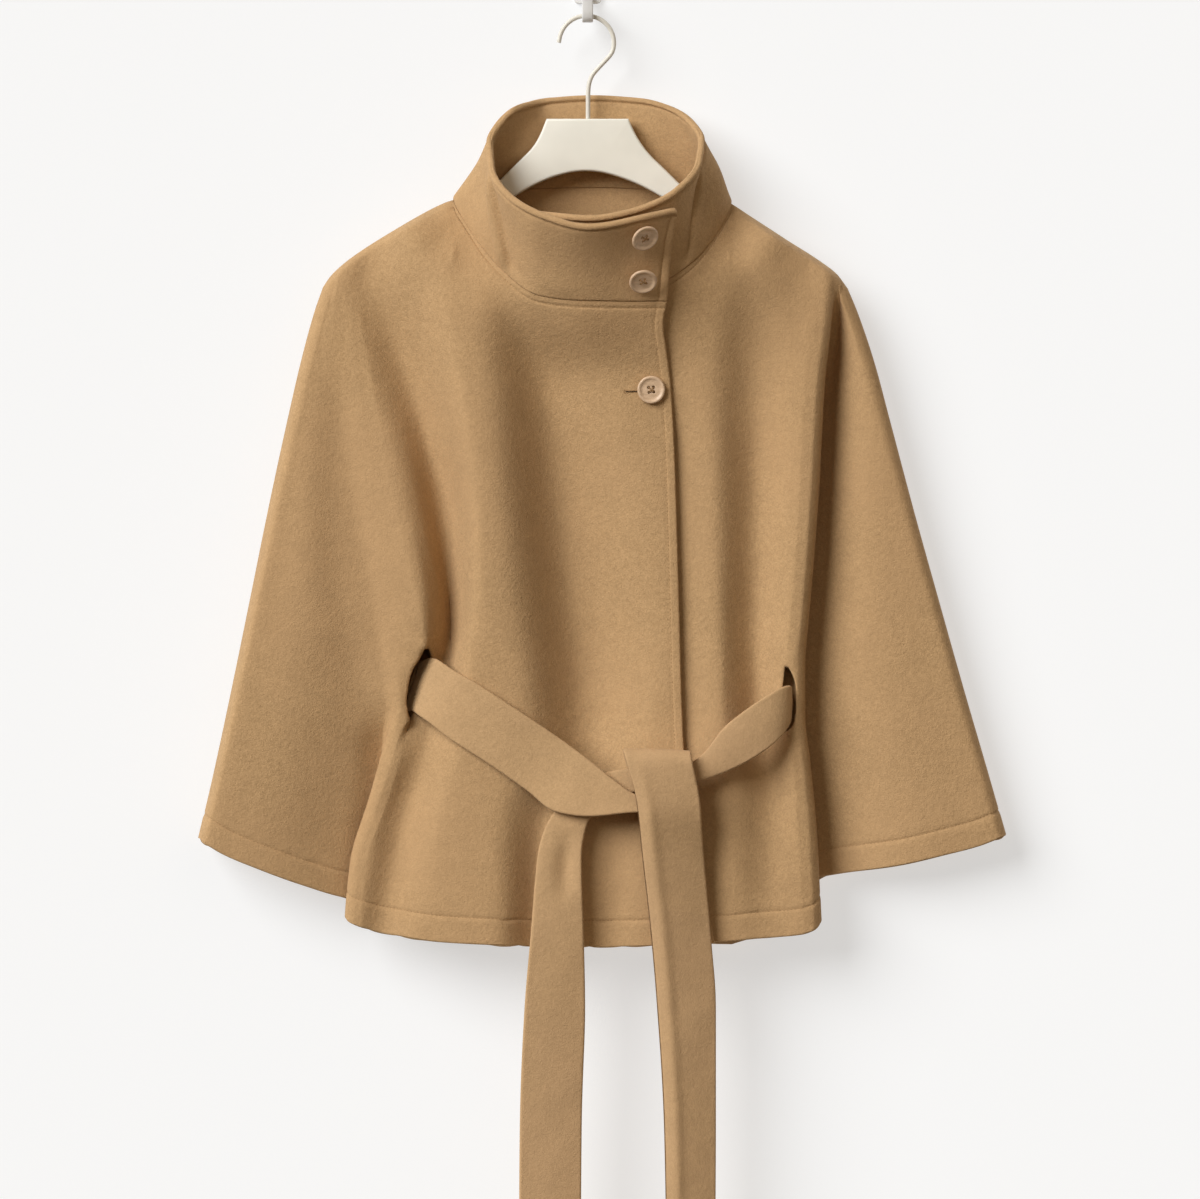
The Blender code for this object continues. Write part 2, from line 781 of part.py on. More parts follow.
def back():
    roll = SHOULDER_ROLL
    neck = np.array(BACK_NECK[1:-1], float)
    base, apart, out = neck_frame(neck)
    tops = base - apart
    left = [-222.0, -205, -180, -150, -128, -117.3]
    right = [125.3, 140, 165, 190, 212]
    columns = [("left", roll * share) for share in reversed(EDGE_STEPS)]
    columns += [("across", x) for x in left] + [("neck", i) for i in range(len(neck))]
    columns += [("across", x) for x in right] + [("right", roll * share) for share in EDGE_STEPS]

    def column_x(kind, place, z):
        far_left, far_right = SIDE_LEFT.at("x", z), SIDE_RIGHT.at("x", z)
        if kind == "left":
            return far_left + place
        if kind == "right":
            return far_right - place
        top_left, top_right = SIDE_LEFT.rows[-1, 1] + roll, SIDE_RIGHT.rows[-1, 1] - roll
        share = (place - top_left) / (top_right - top_left)
        return lerp(far_left + roll, far_right - roll, share)

    tops_z = []
    for kind, place in columns:
        if kind == "neck":
            tops_z.append(tops[place, 2])
            continue
        z = -250.0
        for _ in range(SETTLE):
            x = column_x(kind, place, z)
            shoulder = SHOULDER_LEFT if x < 0 else SHOULDER_RIGHT
            z = lerp(z, shoulder.at("z", x), 0.6)
        tops_z.append(float(z))
    rows = np.array(BACK_ROWS)
    x = np.zeros((len(rows), len(columns)))
    z = np.zeros_like(x)
    for column, (kind, place) in enumerate(columns):
        start = tops[place, 0] if kind == "neck" else place
        kept = "across" if kind == "neck" else kind
        hem = -800.0
        for _ in range(SETTLE):
            hem = lerp(hem, BACK_HEM.at("z", column_x(kept, start, hem)), 0.6)
        z[:, column] = tops_z[column] + (hem - tops_z[column]) * rows
        x[:, column] = column_x(kept, start, z[:, column])
        if kind == "neck":
            ahead = 1 - ease((tops_z[column] - z[:, column]) / 120)
            x[:, column] += (start - x[0, column]) * ahead
    side = np.abs(x - BODY_MIDDLE) / np.interp(-z, (190, 800), (240, 360))
    flat = BACK_Y - 3 * side**2 - 2 * ease((z + 300) / 100)
    y = turned_edge(flat - folds(BACK_FOLDS, x, z), x, z, 1)
    first = columns.index(("neck", 0))
    last = first + len(neck)
    wanted = np.zeros(len(columns))
    wanted[first:last] = tops[:, 1] - y[0, first:last]
    y = y + wanted * (1 - ease((z[0] - z) / BACK_FADE))
    points = np.stack([x, y, z], axis=-1)
    normals = [
        (np.s_[:, 0], edge_normals(x[:, 0], z[:, 0], 0, -1)),
        (np.s_[:, -1], edge_normals(x[:, -1], z[:, -1], 0, 1)),
        (np.s_[0, :first], edge_normals(x[0, :first], z[0, :first], 2, 1)),
        (np.s_[0, last:], edge_normals(x[0, last:], z[0, last:], 2, 1)),
        (np.s_[0, first:last], out),
    ]
    return wall("back", points, CLOTH, WOOL, -1, normals)


# The belt


def belt(name, table, samples):
    """A flat strip with softly turned edges, through its sections."""
    t = np.linspace(table.rows[0, 0], table.rows[-1, 0], samples)
    top = np.stack([table.at("top_" + axis, t) for axis in "xyz"], axis=-1)
    low = np.stack([table.at("low_" + axis, t) for axis in "xyz"], axis=-1)
    middle = (top + low) / 2
    width = np.linalg.norm(top - low, axis=-1, keepdims=True)
    across = (top - low) / width
    out = unit(np.cross(across, np.gradient(middle, axis=0)))
    half = BELT_CLOTH / 2
    bm = bmesh.new()
    rings = []
    for i in range(samples):
        wide = width[i, 0] / 2
        flat = wide - BELT_EASE
        profile = ((-wide, 0), (-flat, half), (flat, half), (wide, 0), (flat, -half), (-flat, -half))
        rings.append([bm.verts.new((middle[i] + across[i] * u + out[i] * v) * MM) for u, v in profile])
    for first, second in zip(rings, rings[1:]):
        for a in range(6):
            b = (a + 1) % 6
            bm.faces.new((first[a], first[b], second[b], second[a]))
    bm.faces.new(rings[0])
    bm.faces.new(reversed(rings[-1]))
    return add_object(name, bm, WOOL_EDGE)


# Hard pieces


def on_collar(t, height):
    """A place just clear of the collar's outer face, and the way that the face looks there."""
    step = 0.3
    sections = np.array([t - step, t, t + step])
    low, high = collar_points(sections, height - 0.1), collar_points(sections, height + 0.1)
    facing = unit(np.cross(high[1] - low[1], low[2] - low[0]))
    return collar_points(sections, height)[1] + facing * (COLLAR_CLOTH / 2 + GAP), facing


def on_front(x, z):
    """The same on the lapped front."""
    step = 6.0
    xs, zs = np.array([x, x - step, x + step, x, x]), np.array([z, z, z, z - step, z + step])
    y = body_depth(xs, zs) - folds(FRONT_FOLDS, xs, zs)
    facing = unit(np.array([(y[2] - y[1]) / step / 2, -1.0, (y[4] - y[3]) / step / 2]))
    return np.array([x, y[0], z]) + facing * (CLOTH / 2 + 2 * GAP), facing


def button(name, centre, facing):
    """A turned button with a raised rim and four thread holes."""
    profile = (
        (9.0, 0.0),
        (11.6, 0.8),
        (BUTTON_RADIUS, 1.9),
        (11.4, 3.3),
        (10.2, BUTTON_THICK),
        (8.6, 3.1),
        (7.6, 2.4),
    )
    sides = 28
    bm = bmesh.new()
    rings = []
    for radius, height in profile:
        ring = []
        for k in range(sides):
            angle = 2 * math.pi * k / sides
            place = (radius * math.cos(angle), radius * math.sin(angle), height)
            ring.append(bm.verts.new([value * MM for value in place]))
        rings.append(ring)
    for low, high in zip(rings, rings[1:]):
        for k in range(sides):
            n = (k + 1) % sides
            bm.faces.new((low[k], low[n], high[n], high[k]))
    bm.faces.new(reversed(rings[0]))
    bm.faces.new(rings[-1])
    made = add_object(name, bm, HORN)
    for k in range(4):
        angle = math.pi / 4 + k * math.pi / 2
        drill = bmesh.new()
        size = HOLE_RADIUS * MM
        bmesh.ops.create_cone(drill, cap_ends=True, segments=8, radius1=size, radius2=size, depth=8 * MM)
        offset = (HOLE_PITCH * math.cos(angle), HOLE_PITCH * math.sin(angle), BUTTON_THICK / 2)
        bmesh.ops.translate(drill, verts=drill.verts, vec=[value * MM for value in offset])
        hole = add_object(f"{name}_hole_{k + 1}", drill, HORN)
        hole.hide_render = True
        hole.display_type = "WIRE"
        hole.parent = made
        cut = made.modifiers.new(f"hole {k + 1}", "BOOLEAN")
        cut.operation = "DIFFERENCE"
        cut.object = hole
    side = unit(np.cross((0, 0, 1), facing))
    up = np.cross(facing, side)
    turn = Matrix(np.stack([side, up, facing], axis=-1).tolist()).to_4x4()
    made.matrix_world = Matrix.Translation(np.array(centre) * MM) @ turn
    return made


def hanger_body():
    """The flat hanger: a raised middle with a hollow at each side, and two arms to the shoulders."""
    seat = CLOTH / 2 + 3 * GAP  # the cloth lies on the arms
    left_arm = [(x, float(SHOULDER_LEFT.at("z", x)) - seat) for x in (-222, -205, -180, -152)]
    right_arm = [(x, float(SHOULDER_RIGHT.at("z", x)) - seat) for x in (158, 180, 203, 219)]
    middle = [
        (-130, -204),
        (-104, -198),
        (-86, -184),
        (-69, -166.5),
        (-58, -156),
        (-48, -146),
        (-42, -136),
        (-38, -126),
        (-36, HANGER_TOP),
        (36, HANGER_TOP),
        (39, -128),
        (44, -138),
        (54, -152),
        (68, -165),
        (84, -181),
        (104, -198),
        (136, -208),
    ]
    below = [
        (224, -274),
        (219, -284),
        (180, -262),
        (140, -240),
        (100, -214),
        (66, -189),
        (34, -173),
        (0, -164.5),
        (-34, -172),
        (-64, -188),
        (-100, -214),
        (-140, -238),
        (-180, -260),
        (-221, -284),
        (-227, -272),
    ]
    outline = left_arm + middle + right_arm + below
    bm = bmesh.new()
    ring = [bm.verts.new((x * MM, (SHOULDER_Y - HANGER_THICK / 2) * MM, z * MM)) for x, z in outline]
    face = bm.faces.new(ring)
    pushed = bmesh.ops.extrude_face_region(bm, geom=[face])["geom"]
    verts = [item for item in pushed if isinstance(item, bmesh.types.BMVert)]
    bmesh.ops.translate(bm, verts=verts, vec=(0, HANGER_THICK * MM, 0))
    made = add_object("hanger_body", bm, CREAM_PAINT)
    edge = made.modifiers.new("eased edges", "BEVEL")
    edge.width = 3.0 * MM
    edge.segments = 2
    edge.limit_method = "ANGLE"
    edge.angle_limit = math.radians(60)
    return made


def hook_route():
    """The wire's middle line: up from the hanger, over in a sweep, and round the hook."""
    shank = [(0.4, HANGER_TOP + GAP), (0.4, -106), (0.4, -96), (1.2, -88.5), (3.4, -82.6)]
    sweep = [(7.6, -77.8), (12.4, -73), (16.6, -68.2)]
    cx, cz = HOOK_CENTRE
    hook = []
    for k in range(19):
        angle = math.radians(-24 + k * (203 / 18))
        hook.append((cx + HOOK_RADIUS * math.cos(angle), cz + HOOK_RADIUS * math.sin(angle)))
    return shank + sweep + hook


def hanger_hook():
    route = np.array(hook_route())
    reach = np.concatenate([[0], np.cumsum(np.linalg.norm(np.diff(route, axis=0), axis=1))])
    even = np.linspace(0, reach[-1], 44)
    places = np.stack([np.interp(even, reach, route[:, axis]) for axis in (0, 1)], axis=-1)
    for _ in range(2):
        places[1:-1] = (places[:-2] + 2 * places[1:-1] + places[2:]) / 4
    curve = bpy.data.curves.new("hanger_hook", "CURVE")
    curve.dimensions = "3D"
    curve.bevel_depth = WIRE_RADIUS * MM
    curve.bevel_resolution = 2
    curve.use_fill_caps = True
    spline = curve.splines.new("POLY")
    spline.points.add(len(places) - 1)
    for point, (x, z) in zip(spline.points, places):
        point.co = (x * MM, SHOULDER_Y * MM, z * MM, 1)
    curve.materials.append(material("hanger_hook", CREAM_METAL))
    made = bpy.data.objects.new("hanger_hook", curve)
    bpy.context.scene.collection.objects.link(made)
    return made


def wall_hook():
    """A plate on the wall and a strap that runs out under the wire and up in front of it."""
    wide, high, thick = PLATE
    bm = bmesh.new()
    bmesh.ops.create_cube(bm, size=1)
    bmesh.ops.scale(bm, vec=(wide * MM, thick * MM, high * MM), verts=bm.verts)
    bmesh.ops.translate(bm, vec=(0, -thick / 2 * MM, 0), verts=bm.verts)
    upright = [edge for edge in bm.edges if edge.verts[0].co.y != edge.verts[1].co.y]
    bmesh.ops.bevel(bm, geom=upright, offset=4 * MM, segments=4, affect="EDGES", profile=0.5)
    plate = add_object("wall_hook", bm, WHITE_PAINT)

    strap_wide, strap_thick = STRAP
    sag = HOOK_RADIUS - math.sqrt(HOOK_RADIUS**2 - (strap_wide / 2) ** 2)  # at the strap's sides
    seat = HOOK_CENTRE[1] + HOOK_RADIUS - WIRE_RADIUS - 3 * GAP - sag
    line = np.array(
        [
            (-1.5, -8.0),
            (-7.0, -13.0),
            (-14.0, -21.5),
            (-20.0, seat + 2.2 - strap_thick / 2),
            (SHOULDER_Y + 3.5, seat + 0.2 - strap_thick / 2),
            (SHOULDER_Y, seat - strap_thick / 2),
            (SHOULDER_Y - 3.6, seat + 0.8 - strap_thick / 2),
            (SHOULDER_Y - 5.6, seat + 3.4),
            (SHOULDER_Y - 6.6, seat + 8.0),
            (SHOULDER_Y - 8.6, -4.0),
        ]
    )
    way = unit(np.gradient(line, axis=0))
    side = np.stack([-way[:, 1], way[:, 0]], axis=-1)
    strap = bmesh.new()
    rings = []
    for place, out in zip(line, side):
        corners = []
        for across, away in ((-1, -1), (1, -1), (1, 1), (-1, 1)):
            y, z = place + out * away * strap_thick / 2
            corners.append(strap.verts.new((across * strap_wide / 2 * MM, y * MM, z * MM)))
        rings.append(corners)
    for first, second in zip(rings, rings[1:]):
        for a in range(4):
            b = (a + 1) % 4
            strap.faces.new((first[a], first[b], second[b], second[a]))
    strap.faces.new(rings[0])
    strap.faces.new(reversed(rings[-1]))
    arm = add_object("wall_hook_strap", strap, WHITE_PAINT)
    arm.hide_render = True
    arm.display_type = "WIRE"
    joined = plate.modifiers.new("strap", "BOOLEAN")
    joined.operation = "UNION"
    joined.object = arm
    return plate


def main():
    for old in list(bpy.data.objects):
        bpy.data.objects.remove(old)
    front(LEFT_FRONT)
    front(RIGHT_FRONT)
    back()
    collar()
    belt("belt_over", BELT_OVER, 30)
    belt("belt_under", BELT_UNDER, 48)
    belt("belt_tail", BELT_TAIL, 44)
    belt("belt_back", BELT_BACK, 24)
    button("button_top", *on_collar(0.9, 0.77))
    button("button_collar", *on_collar(0.78, 0.27))
    button("button_front", *on_front(55.6, -358.8))
    hanger_body()
    hanger_hook()
    wall_hook()


main()
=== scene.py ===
import math

import bmesh
import bpy
import numpy as np
from mathutils import Matrix, Vector


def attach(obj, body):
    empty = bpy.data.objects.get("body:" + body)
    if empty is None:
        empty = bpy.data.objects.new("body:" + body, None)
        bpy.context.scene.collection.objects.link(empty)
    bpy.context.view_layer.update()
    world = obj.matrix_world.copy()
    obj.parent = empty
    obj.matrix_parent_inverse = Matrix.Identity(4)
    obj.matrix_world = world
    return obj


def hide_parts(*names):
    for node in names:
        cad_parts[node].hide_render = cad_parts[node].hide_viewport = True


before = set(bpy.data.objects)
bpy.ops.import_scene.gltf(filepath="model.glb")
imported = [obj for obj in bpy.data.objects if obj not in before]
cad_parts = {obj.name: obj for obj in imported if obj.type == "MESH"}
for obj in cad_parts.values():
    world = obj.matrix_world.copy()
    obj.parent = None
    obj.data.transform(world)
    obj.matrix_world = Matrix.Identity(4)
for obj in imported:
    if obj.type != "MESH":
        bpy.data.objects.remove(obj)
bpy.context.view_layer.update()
scene = bpy.context.scene
mm = 0.001

# Lengths below are in millimetres, x to the right, y into the wall, z up; left is the viewer's left.

cloth = {
    "thick": 2.4,
    "collarThick": 4.4,
    "beltThick": 4.0,
    "gap": 0.3,
    "neckGap": 0.5,
    "shoulderGap": 2.0,
    "hemFold": 23.0,  # from the hem up to its stitches
    "lapStitch": 8.0,
    "neckStitch": 6.0,
    "roll": 9.0,  # how far the cloth turns over at the shoulders and the wings' edges
    "neckRoll": 36.0,  # and how much further beside the neck
    "hemThicker": 0.28,
    "hemDent": 0.75,  # how deep each row of stitches draws the cloth in
    "neckDent": 0.9,
    "lapDent": 0.55,
    "slitEdge": 1.4,  # how wide the slits' turned edges are rounded
}
hang = {"shoulderY": -29.0, "cuffY": -22.0, "backY": -9.0, "bodyY": -46.0}  # the wall is at y 0


def unit(vectors):
    return vectors / np.maximum(np.linalg.norm(vectors, axis=-1, keepdims=True), 1e-12)


def lerp(a, b, t):
    return a + (b - a) * t


def ease(t):
    t = np.clip(t, 0.0, 1.0)
    return t * t * (3 - 2 * t)


def bell(t):
    return np.where(np.abs(t) < 1, (1 + np.cos(np.pi * np.clip(t, -1, 1))) / 2, 0.0)


def steadySlopes(xs, ys):
    # the slope at each point, so that the curve through them never swings past them
    slope = np.diff(ys) / np.diff(xs)
    out = np.zeros_like(ys)
    out[0], out[-1] = slope[0], slope[-1]
    for i in range(1, len(ys) - 1):
        if slope[i - 1] * slope[i] > 0:
            near = 2 * (xs[i + 1] - xs[i]) + xs[i] - xs[i - 1]
            far = xs[i + 1] - xs[i] + 2 * (xs[i] - xs[i - 1])
            out[i] = (near + far) / (near / slope[i - 1] + far / slope[i])
    return out


class Rows:
    # rows of numbers under named columns, read by the first column along a smooth curve

    def __init__(self, columns, *rows):
        self.values = np.array(sorted(rows), float)
        self.keys = self.values[:, 0]
        self.names = columns.split()
        self.slopes = [steadySlopes(self.keys, column) for column in self.values.T]

    def at(self, name, where):
        k = self.names.index(name)
        xs, ys, slopes = self.keys, self.values[:, k], self.slopes[k]
        where = np.clip(np.asarray(where, float), xs[0], xs[-1])
        i = np.clip(np.searchsorted(xs, where, side="right") - 1, 0, len(xs) - 2)
        step = xs[i + 1] - xs[i]
        t = (where - xs[i]) / step
        ends = (1 + 2 * t) * (1 - t) ** 2 * ys[i] + t**2 * (3 - 2 * t) * ys[i + 1]
        return ends + t * (1 - t) ** 2 * step * slopes[i] + t**2 * (t - 1) * step * slopes[i + 1]


def ripple(points, size, seed):
    # soft uneven waves of about one size, from -1 to 1
    rng = np.random.default_rng(seed)
    total = 0.0
    for _ in range(10):
        way = rng.normal(size=3)
        way *= 2 * np.pi / (size * rng.uniform(0.7, 1.5)) / np.linalg.norm(way)
        total = total + np.sin(points @ way + rng.uniform(0, 2 * np.pi))
    return total / 4.5


def placed(name, data):
    made = bpy.data.objects.new(name, data)
    scene.collection.objects.link(made)
    return made


def evaluatedMesh(made):
    # what an object's modifiers or bevel make of it, as a plain mesh
    graph = bpy.context.evaluated_depsgraph_get()
    graph.update()
    return bpy.data.meshes.new_from_object(made.evaluated_get(graph))


def nodeTree(name, kind, inputs, outputs):
    tree = bpy.data.node_groups.new(name, kind)
    for label, socket, default in inputs:
        made = tree.interface.new_socket(name=label, in_out="INPUT", socket_type=socket)
        if default is not None:
            made.default_value = default
    for label, socket in outputs:
        tree.interface.new_socket(name=label, in_out="OUTPUT", socket_type=socket)
    return tree


def shaderNode(tree, kind, **values):
    made = tree.nodes.new(kind)
    for name, value in values.items():
        setattr(made, name, value)
    return made


def feed(tree, made, **links):
    for name, source in links.items():
        # i0, i1 and so on stand for an input by its number
        numbered = name[0] == "i" and name[1:].isdigit()
        socket = made.inputs[int(name[1:]) if numbered else name]
        if isinstance(source, bpy.types.NodeSocket):
            tree.links.new(source, socket)
        else:
            socket.default_value = source
    return made


def noiseAt(tree, vector, scale, detail=2.0, roughness=0.5):
    made = shaderNode(tree, "ShaderNodeTexNoise")
    feed(tree, made, Vector=vector, Scale=scale, Detail=detail, Roughness=roughness)
    return made.outputs["Fac"]


def maths(tree, operation, a, b=0.0, c=0.0):
    made = shaderNode(tree, "ShaderNodeMath", operation=operation)
    feed(tree, made, i0=a, i1=b, i2=c)
    return made.outputs[0]


def spread(tree, value, low, high, toLow=0.0, toHigh=1.0):
    made = shaderNode(tree, "ShaderNodeMapRange", interpolation_type="SMOOTHSTEP")
    feed(tree, made, i0=value, i1=low, i2=high, i3=toLow, i4=toHigh)
    return made.outputs[0]


def blend(tree, share, a, b, mode="MIX"):
    made = shaderNode(tree, "ShaderNodeMix", data_type="RGBA", blend_type=mode)
    feed(tree, made, i0=share, i6=a, i7=b)
    return made.outputs[2]


def stretched(tree, vector, scale, turn=(0, 0, 0)):
    made = shaderNode(tree, "ShaderNodeMapping")
    feed(tree, made, Vector=vector, Scale=scale, Rotation=turn)
    return made.outputs[0]


def napGroup():
    # milled wool: heathered fibres, a soft nap and a slow drift of colour
    tree = nodeTree(
        "milledNap",
        "ShaderNodeTree",
        [
            ("Vector", "NodeSocketVector", None),
            ("Light", "NodeSocketColor", (0.5, 0.32, 0.17, 1)),
            ("Dark", "NodeSocketColor", (0.4, 0.25, 0.13, 1)),
            ("Drift", "NodeSocketColor", (0.5, 0.31, 0.18, 1)),
            ("Heather", "NodeSocketFloat", 0.5),
            ("Nap", "NodeSocketFloat", 1.0),
        ],
        [("Color", "NodeSocketColor"), ("Roughness", "NodeSocketFloat"), ("Height", "NodeSocketFloat")],
    )
    given, made = tree.nodes.new("NodeGroupInput"), tree.nodes.new("NodeGroupOutput")
    at = given.outputs["Vector"]
    upright = noiseAt(tree, stretched(tree, at, (1500, 1500, 420), (0, 0.5, 0.3)), 1.0, 2.0)
    level = noiseAt(tree, stretched(tree, at, (420, 1500, 1500), (0.4, -0.4, 0)), 1.0, 2.0)
    fibres = maths(tree, "MAXIMUM", upright, level)
    grain = noiseAt(tree, at, 760.0, 3.0, 0.6)
    pile = noiseAt(tree, at, 260.0, 3.0, 0.55)
    mottle = noiseAt(tree, at, 70.0, 3.0, 0.6)
    slow = noiseAt(tree, at, 7.0, 2.0)
    portion = lambda value, share: maths(tree, "MULTIPLY", value, share)
    tone = maths(tree, "ADD", portion(grain, 0.45), portion(fibres, 0.3))
    tone = maths(tree, "ADD", tone, portion(pile, 0.25))
    heather = spread(tree, tone, 0.36, 0.68)
    contrast = maths(tree, "SUBTRACT", heather, 0.5)
    share = maths(tree, "MULTIPLY_ADD", contrast, given.outputs["Heather"], 0.5)
    colour = blend(tree, share, given.outputs["Dark"], given.outputs["Light"])
    drifted = maths(tree, "MULTIPLY", spread(tree, slow, 0.35, 0.65), 0.5)
    colour = blend(tree, drifted, colour, given.outputs["Drift"])
    shade = maths(tree, "MULTIPLY_ADD", spread(tree, mottle, 0.3, 0.7), 0.06, 0.97)
    toned = shaderNode(tree, "ShaderNodeVectorMath", operation="SCALE")
    feed(tree, toned, i0=colour)
    tree.links.new(shade, toned.inputs["Scale"])
    tree.links.new(toned.outputs[0], made.inputs["Color"])
    tree.links.new(spread(tree, grain, 0.3, 0.7, 0.84, 1.0), made.inputs["Roughness"])
    height = maths(tree, "ADD", portion(grain, 0.5), portion(fibres, 0.45))
    height = maths(tree, "ADD", height, portion(pile, 0.8))
    height = maths(tree, "MULTIPLY", height, given.outputs["Nap"])
    tree.links.new(height, made.inputs["Height"])
    return tree


def finishBase(name):
    made = bpy.data.materials.new(name)
    made.use_nodes = True
    tree = made.node_tree
    shader = tree.nodes["Principled BSDF"]
    at = shaderNode(tree, "ShaderNodeTexCoord").outputs["Object"]
    return made, tree, shader, at


def bumped(tree, shader, height, distance, strength=1.0):
    bump = shaderNode(tree, "ShaderNodeBump")
    feed(tree, bump, Height=height, Distance=distance, Strength=strength)
    tree.links.new(bump.outputs["Normal"], shader.inputs["Normal"])


def woolFinish(name, light, dark, drift, heather=0.65, nap=1.0, sheen=0.14, depth=0.0009):
    made, tree, shader, at = finishBase(name)
    group = shaderNode(tree, "ShaderNodeGroup", node_tree=milledNap)
    feed(tree, group, Vector=at, Heather=heather, Nap=nap)
    feed(tree, group, Light=(*light, 1), Dark=(*dark, 1), Drift=(*drift, 1))
    tree.links.new(group.outputs["Color"], shader.inputs["Base Color"])
    tree.links.new(group.outputs["Roughness"], shader.inputs["Roughness"])
    shader.inputs["Specular IOR Level"].default_value = 0.18
    shader.inputs["Sheen Weight"].default_value = sheen
    shader.inputs["Sheen Roughness"].default_value = 0.45
    shader.inputs["Sheen Tint"].default_value = (1.0, 0.82, 0.62, 1)
    bumped(tree, shader, group.outputs["Height"], depth, 0.8)
    return made


woolTones = {  # the light fibres, the dark ones and the slow drift of colour
    "cape": ((0.62, 0.4, 0.205), (0.375, 0.232, 0.108), (0.51, 0.318, 0.16)),
    "belt": ((0.64, 0.418, 0.22), (0.4, 0.252, 0.122), (0.53, 0.338, 0.182)),
    # the thread's tones are darker than the cloth's as painted shade for the dents its stitches draw in
    "thread": ((0.44, 0.265, 0.125), (0.30, 0.175, 0.08), (0.38, 0.225, 0.105)),
    # the cut's tones are painted shade: a near-black wool for the shaded inside of a buttonhole's slit
    "cut": ((0.06, 0.036, 0.02), (0.035, 0.022, 0.012), (0.045, 0.028, 0.016)),
}
milledNap = napGroup()
wool = woolFinish("camelWool", *woolTones["cape"])
beltWool = woolFinish("pressedWool", *woolTones["belt"], heather=0.5, nap=0.8)
# the thread finish is darker than the cloth: painted shade of the stitch dents, on thread of the
# cloth's own colour
threadWoolPaintedShade = woolFinish("sewingThreadPaintedShade", *woolTones["thread"], heather=0.5, nap=0.5, sheen=0.1)
# painted shade: the near-black finish of the cord that stands in each buttonhole's slit
holeShade = woolFinish("shadedWool", *woolTones["cut"], heather=0.5, nap=0.5, sheen=0.0)


def paintFinish(name, colour, roughness, texture, depth, speck=0.03):
    made, tree, shader, at = finishBase(name)
    fine = noiseAt(tree, at, texture, 3.0, 0.6)
    slow = noiseAt(tree, at, 28.0, 2.0)
    lighter = tuple(min(value * (1 + speck), 1.0) for value in colour)
    darker = tuple(value * (1 - speck) for value in colour)
    mixed = blend(tree, spread(tree, slow, 0.3, 0.7), (*darker, 1), (*lighter, 1))
    tree.links.new(mixed, shader.inputs["Base Color"])
    dull = spread(tree, fine, 0.25, 0.75, roughness - 0.05, roughness + 0.07)
    tree.links.new(dull, shader.inputs["Roughness"])
    bumped(tree, shader, fine, depth, 0.5)
    return made


paintTones = {"hanger": (0.88, 0.86, 0.77), "wire": (0.74, 0.71, 0.63), "wallHook": (0.83, 0.83, 0.82)}
hangerPaint = paintFinish("creamHangerPaint", paintTones["hanger"], 0.5, 900.0, 0.00008)
hookCoat = paintFinish("creamWireCoating", paintTones["wire"], 0.38, 700.0, 0.00005)
hookPaint = paintFinish("whiteHookPaint", paintTones["wallHook"], 0.42, 600.0, 0.00006)

hornTones = {"dark": (0.54, 0.37, 0.225), "light": (0.73, 0.52, 0.345), "cloud": (0.63, 0.435, 0.275)}


def hornFinish():
    # dull horn with streaks that run across each button
    dark, light, cloudTone = ((*hornTones[name], 1) for name in ("dark", "light", "cloud"))
    made, tree, shader, at = finishBase("brownHorn")
    streak = noiseAt(tree, stretched(tree, at, (90, 300, 420), (0.2, 0.5, 0.3)), 1.0, 4.0, 0.6)
    cloud = noiseAt(tree, at, 160.0, 3.0, 0.5)
    colour = blend(tree, spread(tree, streak, 0.3, 0.7), dark, light)
    colour = blend(tree, maths(tree, "MULTIPLY", cloud, 0.35), colour, cloudTone)
    tree.links.new(colour, shader.inputs["Base Color"])
    tree.links.new(spread(tree, cloud, 0.3, 0.7, 0.38, 0.5), shader.inputs["Roughness"])
    shader.inputs["Coat Weight"].default_value = 0.15
    shader.inputs["Coat Roughness"].default_value = 0.35
    bumped(tree, shader, streak, 0.00012, 0.5)
    return made


horn = hornFinish()
print("finishes ready")


def relax(points, rounds, keep):
    # takes kinks out of a grid, and leaves the points in keep where they are
    for _ in range(rounds):
        for axis in (0, 1):
            p = np.moveaxis(points, axis, 0)
            before = np.linalg.norm(p[1:-1] - p[:-2], axis=-1, keepdims=True) + 1e-9
            after = np.linalg.norm(p[2:] - p[1:-1], axis=-1, keepdims=True) + 1e-9
            between = (after * p[:-2] + before * p[2:]) / (before + after)
            moved = p.copy()
            moved[1:-1] = lerp(p[1:-1], between, 0.5)
            points = np.where(keep[..., None], points, np.moveaxis(moved, 0, axis))
    return points


def gridNormals(points):
    face = np.cross(points[1:, :-1] - points[:-1, 1:], points[1:, 1:] - points[:-1, :-1])
    total = np.zeros_like(points)
    for rows in (slice(None, -1), slice(1, None)):
        for columns in (slice(None, -1), slice(1, None)):
            total[rows, columns] += face
    return unit(total)


def meshObject(name, vertices, faces, finish):
    vertices, faces = np.asarray(vertices, float), np.asarray(faces)
    used, faces = np.unique(faces, return_inverse=True)
    faces = faces.reshape(-1, 4)
    vertices = vertices[used]
    a, b, c, d = (vertices[faces[:, i]] for i in range(4))
    volume = (np.cross(a, b) * c).sum() + (np.cross(a, c) * d).sum()
    if volume < 0:
        faces = faces[:, ::-1]
    mesh = bpy.data.meshes.new(name)
    mesh.from_pydata((vertices * mm).tolist(), [], faces.tolist())
    mesh.shade_smooth()
    mesh.materials.append(finish)
    return placed(name, mesh)


